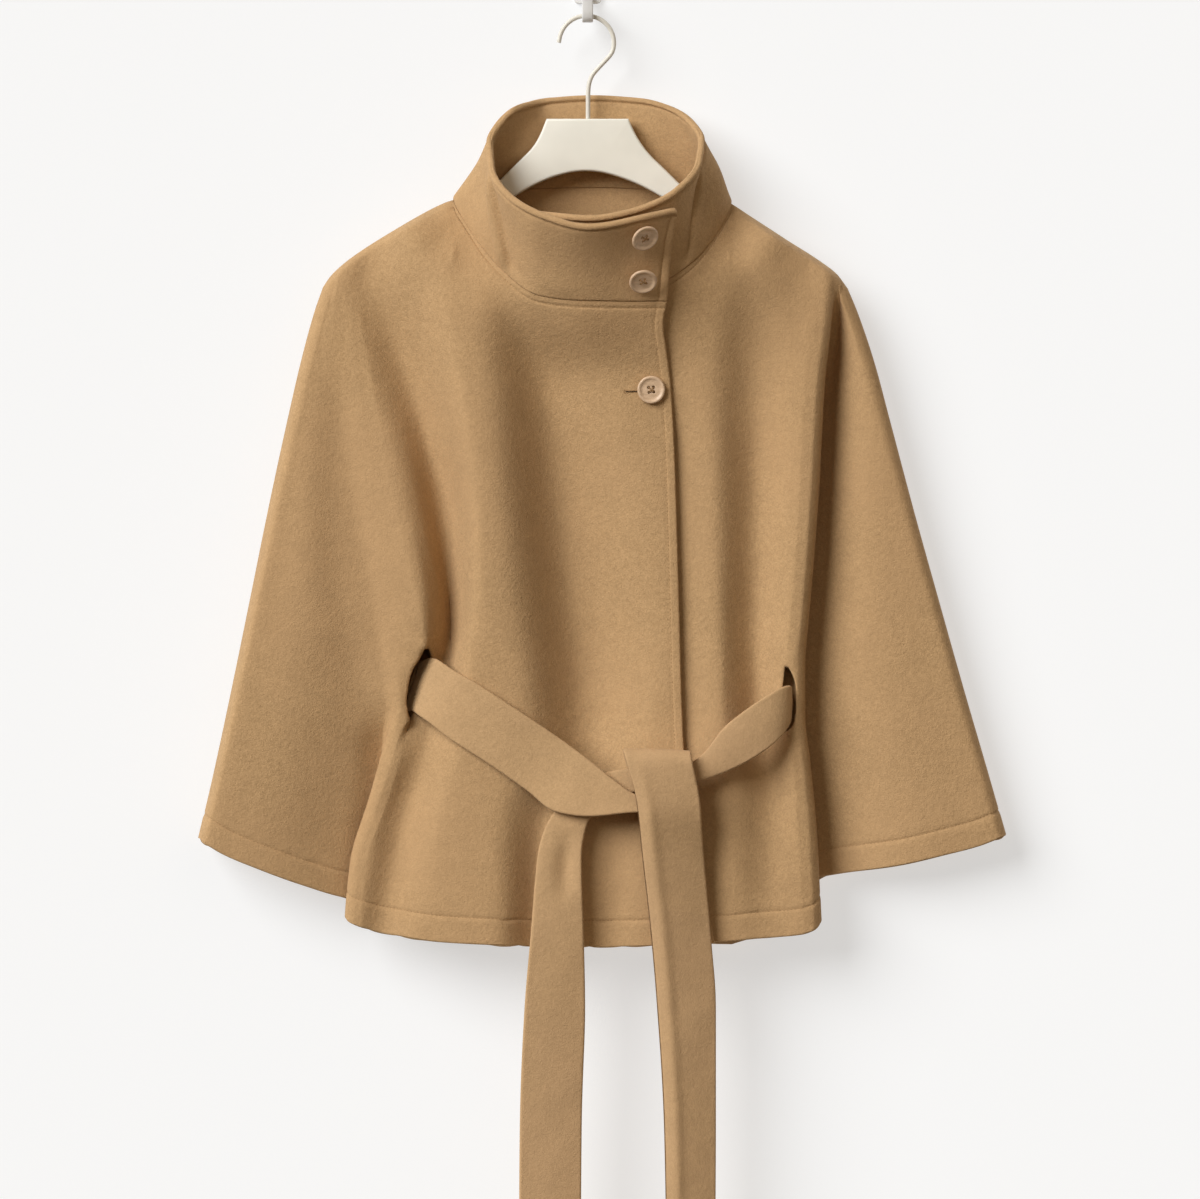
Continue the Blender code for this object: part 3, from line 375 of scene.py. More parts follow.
def shellFaces(kept):
    # the faces of two skins on one grid, over the cells in kept, and of the rims that join them
    rows, columns = kept.shape[0] + 1, kept.shape[1] + 1
    count = rows * columns
    index = np.arange(count).reshape(rows, columns)
    a, b = index[:-1, :-1][kept], index[:-1, 1:][kept]
    c, d = index[1:, 1:][kept], index[1:, :-1][kept]
    front = np.stack([a, b, c, d], axis=-1)
    edges = np.concatenate([np.stack(pair, axis=-1) for pair in ((a, b), (b, c), (c, d), (d, a))])
    alone = ~np.isin(edges[:, 0] * count + edges[:, 1], edges[:, 1] * count + edges[:, 0])
    start, end = edges[alone].T
    rim = np.stack([end, start, start + count, end + count], axis=-1)
    return np.concatenate([front, front[:, ::-1] + count, rim])


def clothShell(name, points, outer, inner, way, finish, borders=(), hole=None):
    # outer and inner are how far each skin stands off the grid; hole marks cells left open
    normals = gridNormals(points) * way
    for place, value in borders:
        normals[place] = value
    skins = [points + normals * outer[..., None], points - normals * inner[..., None]]
    kept = np.ones((points.shape[0] - 1, points.shape[1] - 1), bool) if hole is None else ~hole
    vertices = np.concatenate([skin.reshape(-1, 3) for skin in skins])
    return meshObject(name, vertices, shellFaces(kept), finish), skins[0], normals, skins[1]


def rounded(distance, half):
    # half the thickness near a free edge, from almost nothing at the edge to half
    near = np.clip(distance / half, 0, 1)
    return np.maximum(half * np.sqrt(1 - (1 - near) ** 2), 0.06)


def along(points, axis):
    # distance run along a grid's rows or columns
    step = np.linalg.norm(np.diff(points, axis=axis), axis=-1)
    start = np.zeros_like(np.take(step, [0], axis=axis))
    return np.cumsum(np.concatenate([start, step], axis=axis), axis=axis)


def fromSides(run):
    # how far each point lies from the nearer end of its row
    return np.minimum(run, run[:, -1:] - run)


def groove(distance, at, half):
    return np.exp(-(((distance - at) / half) ** 2))


def levelLine(points, normals, values, level):
    # the line down the grid's rows along which values equals level
    found, ways = [], []
    for row in range(points.shape[0]):
        v = values[row] - level
        crossing = np.nonzero((v[:-1] < 0) != (v[1:] < 0))[0]
        if len(crossing):
            i = crossing[0]
            t = v[i] / (v[i] - v[i + 1])
            found.append(lerp(points[row, i], points[row, i + 1], t))
            ways.append(lerp(normals[row, i], normals[row, i + 1], t))
    return np.array(found), unit(np.array(ways))


stitchForm = {"length": 2.5, "thick": 0.62, "pitch": 3.3, "uneven": 0.12}


def stitchTree():
    # one thread, a slim bead, on each marked place
    tree = nodeTree(
        "threadStitches",
        "GeometryNodeTree",
        [
            ("Places", "NodeSocketGeometry", None),
            ("Length", "NodeSocketFloat", 0.0025),
            ("Thickness", "NodeSocketFloat", 0.0006),
            ("Unevenness", "NodeSocketFloat", 0.1),
            ("Seed", "NodeSocketInt", 3),
            ("Thread", "NodeSocketMaterial", None),
        ],
        [("Stitches", "NodeSocketGeometry")],
    )
    nodes, link = tree.nodes, tree.links.new
    given, made = nodes.new("NodeGroupInput"), nodes.new("NodeGroupOutput")
    bead = nodes.new("GeometryNodeMeshUVSphere")
    bead.inputs["Segments"].default_value = 6
    bead.inputs["Rings"].default_value = 4
    bead.inputs["Radius"].default_value = 0.5
    shade = nodes.new("GeometryNodeSetShadeSmooth")
    link(bead.outputs["Mesh"], shade.inputs["Geometry"])
    ways = []  # along the row of stitches, and out of the cloth
    for name in ("run", "face"):
        read = nodes.new("GeometryNodeInputNamedAttribute")
        read.data_type = "FLOAT_VECTOR"
        read.inputs["Name"].default_value = name
        ways.append(read.outputs["Attribute"])
    turn = nodes.new("FunctionNodeAxesToRotation")
    turn.primary_axis, turn.secondary_axis = "X", "Z"
    link(ways[0], turn.inputs["Primary Axis"])
    link(ways[1], turn.inputs["Secondary Axis"])
    vary = nodes.new("FunctionNodeRandomValue")
    vary.data_type = "FLOAT"
    less, more = nodes.new("ShaderNodeMath"), nodes.new("ShaderNodeMath")
    less.operation, more.operation = "SUBTRACT", "ADD"
    less.inputs[0].default_value = more.inputs[0].default_value = 1.0
    link(given.outputs["Unevenness"], less.inputs[1])
    link(given.outputs["Unevenness"], more.inputs[1])
    link(less.outputs[0], vary.inputs[2])
    link(more.outputs[0], vary.inputs[3])
    link(given.outputs["Seed"], vary.inputs["Seed"])
    size = nodes.new("ShaderNodeCombineXYZ")
    longer = nodes.new("ShaderNodeMath")
    longer.operation = "MULTIPLY"
    link(given.outputs["Length"], longer.inputs[0])
    link(vary.outputs[1], longer.inputs[1])
    link(longer.outputs[0], size.inputs["X"])
    link(given.outputs["Thickness"], size.inputs["Y"])
    link(given.outputs["Thickness"], size.inputs["Z"])
    put = nodes.new("GeometryNodeInstanceOnPoints")
    link(given.outputs["Places"], put.inputs["Points"])
    link(shade.outputs["Geometry"], put.inputs["Instance"])
    link(turn.outputs["Rotation"], put.inputs["Rotation"])
    link(size.outputs["Vector"], put.inputs["Scale"])
    whole, paint = nodes.new("GeometryNodeRealizeInstances"), nodes.new("GeometryNodeSetMaterial")
    link(put.outputs["Instances"], whole.inputs["Geometry"])
    link(whole.outputs["Geometry"], paint.inputs["Geometry"])
    link(given.outputs["Thread"], paint.inputs["Material"])
    link(paint.outputs["Geometry"], made.inputs["Stitches"])
    return tree


def settled(made, tree, values):
    # runs a tree on an object and leaves the result as a plain mesh
    step = made.modifiers.new("make", "NODES")
    step.node_group = tree
    for item in tree.interface.items_tree:
        if item.in_out == "INPUT" and item.name in values:
            step[item.identifier] = values[item.name]
    result = evaluatedMesh(made)
    made.modifiers.remove(step)
    made.data = result
    return made


def evenly(line, ways, pitch):
    # places at an even pitch along a line, with the line's run and the cloth's facing there
    reach = along(line, 0)
    count = max(int(reach[-1] / pitch), 2)
    where = (np.arange(count) + 0.5) * reach[-1] / count
    read = lambda values: np.stack([np.interp(where, reach, column) for column in values.T], axis=-1)
    run = unit(np.gradient(line, axis=0))
    return read(line), unit(read(run)), unit(read(ways))


def stitching(name, lines, thread, sink=0.1, pitch=None, length=None, thick=None, across=False):
    # lines are (points, facings); a sewn row is shown by one small thread at each stitch, darker than
    # the cloth as painted shade of the stitch dents
    s = stitchForm
    places, runs, faces = [], [], []
    for line, ways in lines:
        if len(line) < 3:
            continue
        place, run, face = evenly(line, ways, pitch or s["pitch"])
        places.append(place - face * sink)
        runs.append(unit(np.cross(face, run)) if across else run)
        faces.append(face)
    places, runs, faces = (np.concatenate(part) for part in (places, runs, faces))
    mesh = bpy.data.meshes.new(name)
    mesh.from_pydata((places * mm).tolist(), [], [])
    for label, values in (("run", runs), ("face", faces)):
        mesh.attributes.new(label, "FLOAT_VECTOR", "POINT").data.foreach_set("vector", values.ravel())
    values = {
        "Length": (length or s["length"]) * mm,
        "Thickness": (thick or s["thick"]) * mm,
        "Unevenness": s["uneven"],
        "Thread": thread,
    }
    return settled(placed(name, mesh), threadStitches, values)


collarRows = Rows("t baseX baseY baseZ rimX rimY rimZ",
    (0, 69.5, -78.5, -282, 78, -104, -201), (1, 37, -84, -282, 46, -120, -209),
    (2, -2, -87.5, -281.5, 2, -126, -217), (3, -42, -82, -277, -38, -120, -207),
    (4, -74, -69, -254, -68, -105, -189), (5, -100, -50, -222, -83, -82, -165),
    (6, -117, -30, -192.5, -84, -58, -140), (6.6, -110, -21, -187, -77, -50, -124.5),
    (7, -100, -17, -185, -64, -42, -111), (7.4, -52, -12.5, -181.6, -38, -14.5, -102),
    (8, 3, -9, -180, 3, -13, -99), (8.6, 66, -12.5, -182.5, 48, -19, -102),
    (9, 108, -17, -186, 74, -29, -110), (9.4, 119, -22, -189.5, 89, -41, -121),
    (10, 125, -30, -195, 98, -58, -137), (11, 112, -50, -222, 96, -80, -160),
    (12, 88, -69, -250, 76, -100, -185), (13, 52, -76, -270, 38, -111, -203),
    (14, 6, -79, -276, 2, -115, -209), (15, -36, -75, -270, -54, -102, -203.5))


def collarPlace(t, height):
    # t runs round from the lapping end at 0 to the hidden end at 15
    # height is 0 at the seam and 1 at the rim
    base = np.stack([collarRows.at("base" + axis, t) for axis in "XYZ"], axis=-1)
    rim = np.stack([collarRows.at("rim" + axis, t) for axis in "XYZ"], axis=-1)
    return lerp(base, rim, height)


def neckFrame(t):
    # the seam, half the gap across it, and the way out of the cloth
    base = collarPlace(t, 0.0)
    up = unit(collarPlace(t, 1.0) - base)
    panel = np.stack([0.0021 * base[:, 0], 0.004 * base[:, 1], -np.ones(len(base))], axis=-1)
    up = unit(up - unit(panel))
    run = collarPlace(t + 0.02, 0.0) - collarPlace(t - 0.02, 0.0)
    out = unit(np.cross(up, run))
    turning = bell((t - 6) / 0.8) + bell((t - 10) / 0.8)
    apart = up * lerp(cloth["neckGap"], cloth["shoulderGap"], turning)[:, None] / 2
    return base, apart, out


# the cape's outline as it hangs, its lap, its folds and how far forward it lies, left and right
shoulderLeft = Rows("x z",
    (-231, -269), (-225, -260), (-216, -251), (-199, -238), (-165, -217), (-125, -195), (-117, -192))
shoulderRight = Rows("x z",
    (125, -195), (138, -204), (171, -226), (204, -247), (218, -258), (227, -270))
sideLeft = Rows("z x",
    (-269, -231), (-289, -238), (-333, -250), (-385, -262), (-464, -279), (-543, -295), (-621, -311),
    (-700, -328), (-751, -340))
sideRight = Rows("z x",
    (-270, 227), (-289, 235), (-333, 250), (-385, 264), (-464, 285), (-543, 307), (-621, 329),
    (-700, 352), (-749, 366))
seamDepth = Rows("z y",
    (-270, hang["shoulderY"]), (-500, -25), (-750, hang["cuffY"]))
bodyHemLeft = Rows("x z",
    (-213, -822), (-199, -828), (-164, -836), (-129, -841), (-60, -844), (20, -845), (112, -842))
bodyHemRight = Rows("x z",
    (0, -839), (112, -841), (151, -838), (186, -835), (204, -829))
wingHemLeft = Rows("x z",
    (-340, -751), (-322, -763), (-287, -778), (-252, -791), (-213, -803), (-180, -808))
wingHemRight = Rows("x z",
    (180, -790), (204, -785), (273, -775), (308, -767), (343, -758), (366, -749))
lapEdge = Rows("z x",
    (-280, 71), (-302, 67), (-324, 70), (-359, 74), (-411, 77), (-543, 81), (-670, 85), (-761, 98),
    (-841, 112))
lapDrop = Rows("z deep",  # how far the under front lies behind the lap's edge
    (-285, -1.0), (-315, -0.8), (-330, 0.9), (-350, 3.4), (-380, 5.0), (-402, 6.4), (-690, 7.0),
    (-760, 5.2), (-840, 4.6))
leftLines = Rows("z lip trough inner outer fold",  # the slit lies between inner and outer
    (-225, -150, -176, -186, -192, -198), (-285, -160, -192, -201, -207, -214),
    (-333, -148, -177, -192, -202, -212), (-402, -140, -162, -180, -194, -207),
    (-472, -131, -147, -166, -184, -200), (-525, -123, -134, -152, -173, -194),
    (-578, -119, -127, -141, -152, -182), (-593, -119, -127, -137, -149, -178),
    (-610, -119, -128, -139, -155, -173), (-628, -119, -131, -146, -158, -170),
    (-640, -120, -135, -153, -159, -169), (-665, -121, -146, -160, -166, -176),
    (-718, -128, -166, -175, -182, -191), (-770, -150, -184, -193, -199, -207),
    (-840, -160, -190, -199, -205, -213))
rightLines = Rows("z lip trough inner outer fold",
    (-240, 150, 176, 192, 202, 209), (-285, 152, 180, 196, 206, 213), (-350, 150, 176, 190, 199, 206),
    (-455, 146, 171, 185, 193, 200), (-560, 139, 160, 177, 185, 192), (-595, 137, 157, 173, 182, 190),
    (-630, 137, 155, 170, 182, 187), (-647, 137, 157, 172, 182, 187), (-680, 139, 161, 178, 186, 192),
    (-743, 143, 169, 184, 192, 199), (-827, 145, 172, 188, 196, 203))
leftFold = Rows("z bend tuck turn",  # the bends' radius, the cloth between them, the degrees it turns
    (-230, 1.6, 1, 1), (-560, 2.2, 1, 1), (-620, 2.2, 1, 8), (-645, 2.5, 1, 50), (-670, 3.0, 3, 110),
    (-718, 4.4, 7, 160), (-760, 5.8, 12, 172), (-840, 7.2, 20, 178))
rightFold = Rows("z bend tuck turn",
    (-255, 1.8, 1, 15), (-275, 3.0, 1, 60), (-300, 5.0, 2, 110), (-350, 8.4, 4, 150),
    (-450, 10.3, 8, 172), (-600, 9.8, 9, 178), (-700, 9.7, 12, 178), (-840, 10.3, 16, 178))
fullness = Rows("z forward",  # how far the chest and the skirt come forward
    (-840, 27), (-640, 26), (-420, 28), (-280, 25))
steps = Rows("z x wide out",  # the body steps back to the right of its left crest
    (-262, -104, 46, 2), (-298, -100, 46, 7), (-350, -92, 58, 11), (-455, -84, 64, 14),
    (-560, -74, 66, 14), (-640, -64, 62, 12), (-700, -66, 54, 4), (-760, -80, 42, 4),
    (-845, -78, 36, 6))
leftDepths = Rows("z foldY swell fill",
    (-230, -39, 0, 9), (-300, -47, 0, 17), (-380, -53, 1, 25), (-450, -59, 1.5, 31), (-560, -63, 2, 36),
    (-600, -62, 2, 37), (-640, -60, 3, 37), (-700, -60, 4, 37), (-840, -60, 5, 36))
leftRoot = Rows("z y",  # how far out the left wing stands where it leaves the body
    (-230, -39), (-300, -47), (-380, -53), (-450, -58), (-560, -61), (-620, -58), (-700, -48),
    (-780, -39), (-840, -36))
rightDepths = Rows("z foldY swell fill",
    (-240, -47, 0, 15), (-300, -57, 1, 15), (-380, -59, 5, 16), (-450, -60, 9, 17), (-620, -60, 12, 18),
    (-840, -61, 13, 18))
valley = Rows("z left right",  # how far back the cloth lies where the belt comes out
    (-560, 0, 0), (-580, 3, 0), (-592, 12, 1), (-615, 16, 2), (-640, 15, 2), (-655, 8, 2), (-670, 2, 1),
    (-685, 0, 0))
acrossValley = Rows("line share", (0.9, 0), (1.5, 0.4), (2, 0.75), (3, 1), (3.5, 0.7), (4, 0.2), (5, 0))
# the line of each fold's middle, how far it reaches to each side, and how far out it comes
frontFolds = [
    Rows("z x left right out",  # the deep fold between the left wing and the body
         (-215, -176, 44, 44, -3), (-262, -172, 44, 48, -11), (-298, -166, 40, 48, -20),
         (-350, -153, 38, 43, -28), (-402, -139, 36, 38, -33), (-455, -127, 34, 32, -38),
         (-507, -121, 27, 22, -41), (-550, -118, 23, 17, -43), (-570, -118, 22, 15, -41),
         (-587, -120, 23, 14, -33), (-612, -124, 24, 15, -20), (-640, -127, 28, 20, -13),
         (-680, -140, 30, 26, -13), (-718, -154, 29, 28, -14), (-752, -163, 26, 30, -13),
         (-790, -170, 24, 32, -10), (-840, -180, 22, 32, -5)),
    Rows("z x left right out",  # the round fold down the left of the body
         (-232, -110, 30, 50, 0), (-298, -116, 34, 54, 3), (-350, -104, 36, 60, 5),
         (-402, -98, 36, 62, 6), (-455, -90, 36, 62, 6), (-520, -84, 34, 62, 5), (-565, -78, 34, 60, 3),
         (-600, -74, 34, 58, 1), (-640, -62, 36, 54, 0)),
    Rows("z x left right out",  # the soft hollow beside it
         (-240, -62, 34, 40, -2), (-298, -54, 42, 50, -10), (-350, -36, 50, 64, -15),
         (-455, -21, 54, 88, -18), (-560, -8, 54, 84, -19), (-620, -2, 54, 70, -21),
         (-690, 2, 48, 50, -19), (-720, -8, 44, 40, -6), (-740, -30, 40, 30, 0)),
    Rows("z x left right out",  # the fold down the right of the body
         (-240, 138, 24, 28, 0), (-298, 143, 34, 36, -7), (-350, 144, 38, 38, -11),
         (-455, 146, 36, 36, -14.5), (-560, 146, 34, 32, -16), (-600, 147, 33, 28, -17),
         (-640, 149, 33, 26, -16), (-680, 154, 32, 26, -13.5), (-718, 158, 32, 26, -10),
         (-770, 156, 30, 28, -5.5), (-842, 150, 30, 28, -1.5)),
    Rows("z x left right out",  # across the left wing
         (-262, -214, 22, 18, 0), (-330, -220, 32, 24, -1.5), (-402, -216, 38, 30, -5),
         (-455, -207, 48, 34, -7), (-520, -196, 60, 34, -9), (-575, -186, 72, 32, -9),
         (-620, -186, 84, 32, -8), (-660, -192, 86, 32, -6), (-720, -206, 86, 40, -3),
         (-790, -220, 86, 50, 0)),
    Rows("z x left right out",  # left of the hanging end
         (-690, -38, 38, 24, 0), (-720, -40, 40, 24, -9), (-790, -42, 36, 24, -17),
         (-845, -44, 33, 22, -16)),
    Rows("z x left right out",  # and right of it
         (-712, 20, 22, 34, 0), (-740, 18, 24, 36, -5), (-790, 16, 24, 36, -7), (-845, 14, 24, 34, -6)),
]

drape = {
    "wave": 0.5,  # how far the cloth waves on its own, over three sizes
    "waveSizes": (150.0, 62.0, 26.0),
    "waveShares": (1.0, 0.45, 0.16),
    "pucker": 0.16,  # beside the hem's stitches
    "relaxRounds": 10,
    "searchRounds": 40,
    "topRows": (0, 0.25, 0.7, 1.4, 2.6, 4.2, 5.2, 6.0, 6.8, 8.2, 10.6, 14),
    "hemRows": (32, 28, 25.2, 23.8, 23.0, 22.2, 20.8, 18, 14.5, 11, 7.6, 4.6, 2.6, 1.3, 0.7, 0.3,
                0.1, 0),
    "rowStep": 3.5,
    "fall": 620,  # about the length of a column
    "lead": 13.0,  # how far before its turned fold the cloth starts to bend
    "leadAngle": 22,
    "rootBlend": 22,  # over how far the wing leaves the fold
    "neckReach": 75.0,  # how far from the neck seam the cloth is brought to it
}


def bodyDepth(x, z):
    # how far out the middle of a front hangs, before its folds
    chest = np.clip(1 - ((x - 4.0) / 215.0) ** 4, 0, None)
    back = steps.at("out", z) * ease((x - steps.at("x", z)) / steps.at("wide", z))
    return hang["bodyY"] - fullness.at("forward", z) * chest + back


def softFolds(table, x, z):
    # how far out the folds of a table stand, all added up
    out = np.zeros_like(x)
    for fold in table:
        aside = x - fold.at("x", z)
        reach = np.where(aside < 0, fold.at("left", z), fold.at("right", z))
        out = out + fold.at("out", z) * bell(aside / reach)
    return out


def edgeLines():
    # the shoulders' and the wings' edges as close points
    parts = []
    for shoulder, side in ((shoulderLeft, sideLeft), (shoulderRight, sideRight)):
        across = np.linspace(shoulder.keys[0], shoulder.keys[-1], 160)
        down = np.linspace(side.keys[0], side.keys[-1], 400)
        parts.append(np.stack([across, shoulder.at("z", across)], axis=-1))
        parts.append(np.stack([side.at("x", down), down], axis=-1))
    return parts


def rimDistance(x, z):
    # how far in from the shoulders' and the wings' edge a point lies, seen from the front
    where = np.stack([x, z], axis=-1).reshape(-1, 2)
    best = np.full(len(where), 1e9)
    for line in edgeLines():
        start, step = line[:-1], np.diff(line, axis=0)
        for first in range(0, len(where), 4000):  # in batches, to save memory
            part = where[first : first + 4000]
            i = np.clip(((part[:, None] - line) ** 2).sum(-1).argmin(1), 1, len(line) - 2)
            for j in (i - 1, i):
                t = ((part - start[j]) * step[j]).sum(-1) / (step[j] ** 2).sum(-1)
                near = start[j] + step[j] * np.clip(t, 0, 1)[:, None]
                reach = np.linalg.norm(part - near, axis=-1)
                best[first : first + 4000] = np.minimum(best[first : first + 4000], reach)
    return best.reshape(x.shape)


def turnedEdge(y, x, z, side):
    # rolls the edge over to its seam; side is -1 on a front and 1 on the back
    seam = seamDepth.at("y", z) + side * cloth["gap"] / 2
    byNeck = (side < 0) * ease((166 - np.abs(x)) / 40) * ease((z + 300) / 40)
    share = np.clip(rimDistance(x, z) / (cloth["roll"] + cloth["neckRoll"] * byNeck), 0, 1)
    power = lerp(2.6, 1.2, byNeck)
    return seam + (y - seam) * (1 - (1 - share) ** power) ** (1 / power)


def leadIn(turn):
    # the slope at which the cloth meets its turned fold
    return math.radians(drape["leadAngle"]) * ease((turn - 0.3) / 1.6)


def turnedFold(fold, z, startX, startY, way, step):
    # round one bend, back along the tuck and round the other
    bend, tuck = fold.at("bend", z), fold.at("tuck", z)
    turn = np.radians(fold.at("turn", z))
    radius, early = np.pi * bend / turn, leadIn(turn)
    first, back = lerp(early, turn, np.minimum(step, 1)), np.clip(step - 1, 0, 1) * tuck
    second = turn * (1 - np.clip(step - 2, 0, 1))
    x = radius * (np.sin(first) - np.sin(early)) + back * np.cos(turn)
    x = x + radius * (np.sin(turn) - np.sin(second))
    y = radius * (np.cos(early) - np.cos(first)) + back * np.sin(turn)
    y = y + radius * (np.cos(second) - np.cos(turn))
    return startX + way * x, startY + y


def slitPinch(z, slit):
    # brings the slit's two sides together at its ends
    top, bottom = slit
    above, below = (z - top) / 16.0, (bottom - z) / 12.0
    inside = np.minimum(np.sqrt(np.clip(-above, 0, 1)), np.sqrt(np.clip(-below, 0, 1)))
    outside = np.maximum(np.clip(above, 0, None), np.clip(below, 0, None))
    return np.maximum(inside, np.minimum(outside, 1.0)) * 0.97 + 0.03


def frontSection(spec, kinds, places, z):
    # kinds are 0 body, 1 turned fold, 2 wing, 3 the wing's edge; places run along each of them
    way, lines = spec["way"], spec["lines"]
    guides = [lines.at(name, z) for name in ("lip", "trough", "inner", "outer", "fold")]
    guides = [spec["edge"](z)] + guides
    guides[4] = lerp(guides[3], guides[4], slitPinch(z, spec["slit"]))
    turn = np.radians(spec["fold"].at("turn", z))
    bent = np.pi * spec["fold"].at("bend", z) / turn
    reach = bent * (np.sin(np.minimum(turn, np.pi / 2)) - np.sin(leadIn(turn)))
    outer = lines.at("outer", z)
    guides[5] = outer + way * np.maximum(way * (guides[5] - outer) - reach, 2.0)
    guides = np.array(guides)
    places = np.broadcast_to(places, z.shape)
    kinds = np.broadcast_to(kinds, z.shape)
    depths = spec["depths"]

    i = np.clip(places.astype(int), 0, 4)
    low = np.take_along_axis(guides, i[None], 0)[0]
    high = np.take_along_axis(guides, i[None] + 1, 0)[0]
    bodyX = lerp(low, high, places - i)
    foldY = depths.at("foldY", z)
    towardFold = (bodyX - guides[1]) / (guides[5] - guides[1])
    bodyY = lerp(bodyDepth(bodyX, z), foldY, ease(towardFold))
    bodyY = bodyY + valley.at(spec["name"], z) * acrossValley.at("share", places)
    lead = drape["lead"]
    nearFold = np.clip(lead - way * (guides[5] - bodyX), 0, lead)
    bodyY = bodyY + np.tan(leadIn(turn)) * nearFold**2 / (2 * lead)
    startY = foldY + np.tan(leadIn(turn)) * lead / 2

    foldX, foldedY = turnedFold(spec["fold"], z, guides[5], startY, way, places)
    lastX, lastY = turnedFold(spec["fold"], z, guides[5], startY, way, 3.0)
    far = spec["side"].at("x", z)
    rest = seamDepth.at("y", z) - depths.at("fill", z)
    wingX = lerp(lastX, far - way * cloth["roll"], places)
    swell = depths.at("swell", z) * np.sin(np.pi * np.clip(places, 0, 1)) ** 2
    root = lastY if spec["root"] is None else spec["root"].at("y", z)
    wingY = lerp(root, rest, ease((places - spec["low"]) / (1 - spec["low"]))) - swell
    wingY = wingY + (lastY - root) * (1 - ease(np.abs(wingX - lastX) / drape["rootBlend"]))
    edgeX = far - way * cloth["roll"] * places
    x = np.choose(kinds, [bodyX, foldX, wingX, edgeX])
    y = np.choose(kinds, [bodyY, foldedY, wingY, rest])
    y = y - softFolds(frontFolds, x, z) + spec["drop"](x, z)
    return x, y


def squareTo(x, z, axis, way):
    # the direction square to an outline, seen from the front, that points way along axis
    square = unit(np.stack([np.gradient(z), np.zeros_like(z), -np.gradient(x)], axis=-1))
    return square * np.sign(square[:, axis : axis + 1]) * way


def frontHem(spec, kinds, places, x):
    # the hem's height goes from the body's to the wing's round the turned fold
    share = np.choose(kinds, [0 * places, places / 3, 0 * places + 1, 0 * places + 1])
    return lerp(spec["bodyHem"].at("z", x), spec["wingHem"].at("z", x), np.clip(share, 0, 1))


def panelRows(top, hem, extra=()):
    # a column's heights: close rows at the seam and at the hem, even ones between
    d = drape
    first, last = d["topRows"][-1], d["hemRows"][0]
    count = int((d["fall"] - first - last) / d["rowStep"])
    shares = np.linspace(0, 1, count + 1)[1:-1]
    for share in extra:
        shares = np.append(shares[np.abs(shares - share) > 0.0022], share)
    shares = np.sort(shares)
    upper = [top - value for value in d["topRows"]]
    lower = [hem + value for value in d["hemRows"]]
    middle = [lerp(upper[-1], lower[0], share) for share in shares]
    return np.array(upper + middle + lower), shares, len(upper)


def seamSoftened(thick, distance, by=0.55, over=0.9):
    # the outer skin falls away where one piece meets the next
    near = np.clip(1 - distance / over, 0, 1)
    return thick - by * (1 - np.sqrt(np.maximum(1 - near**2, 0)))


def waved(points, fromTop, fromWing, squash, firstSeed):
    # gives the cloth its own unevenness, still where it is sewn
    calm = ease((fromTop - 4) / 40) * ease((fromWing - 8) / 30)
    flat = points * np.array([1.0, 0.0, squash])
    for k, (size, share) in enumerate(zip(drape["waveSizes"], drape["waveShares"])):
        points[..., 1] += drape["wave"] * share * calm * ripple(flat, size, firstSeed + k)
    return flat, calm


def hemmed(fromTop, fromHem, fromWing, byNeck, turnedIn):
    # half the thickness on the outside and the inside, with the hem's fold and the rows of stitches
    outerHalf = cloth["thick"] / 2 + cloth["hemThicker"] * (1 - ease((fromHem - 19) / 4))
    outerHalf -= cloth["hemDent"] * groove(fromHem, cloth["hemFold"], 1.1) * ease((fromWing - 1) / 3)
    outerHalf -= cloth["neckDent"] * groove(fromTop, cloth["neckStitch"], 1.0) * byNeck
    innerHalf = cloth["thick"] / 2 + turnedIn * (1 - ease((fromHem - 21) / 3))
    return outerHalf, innerHalf


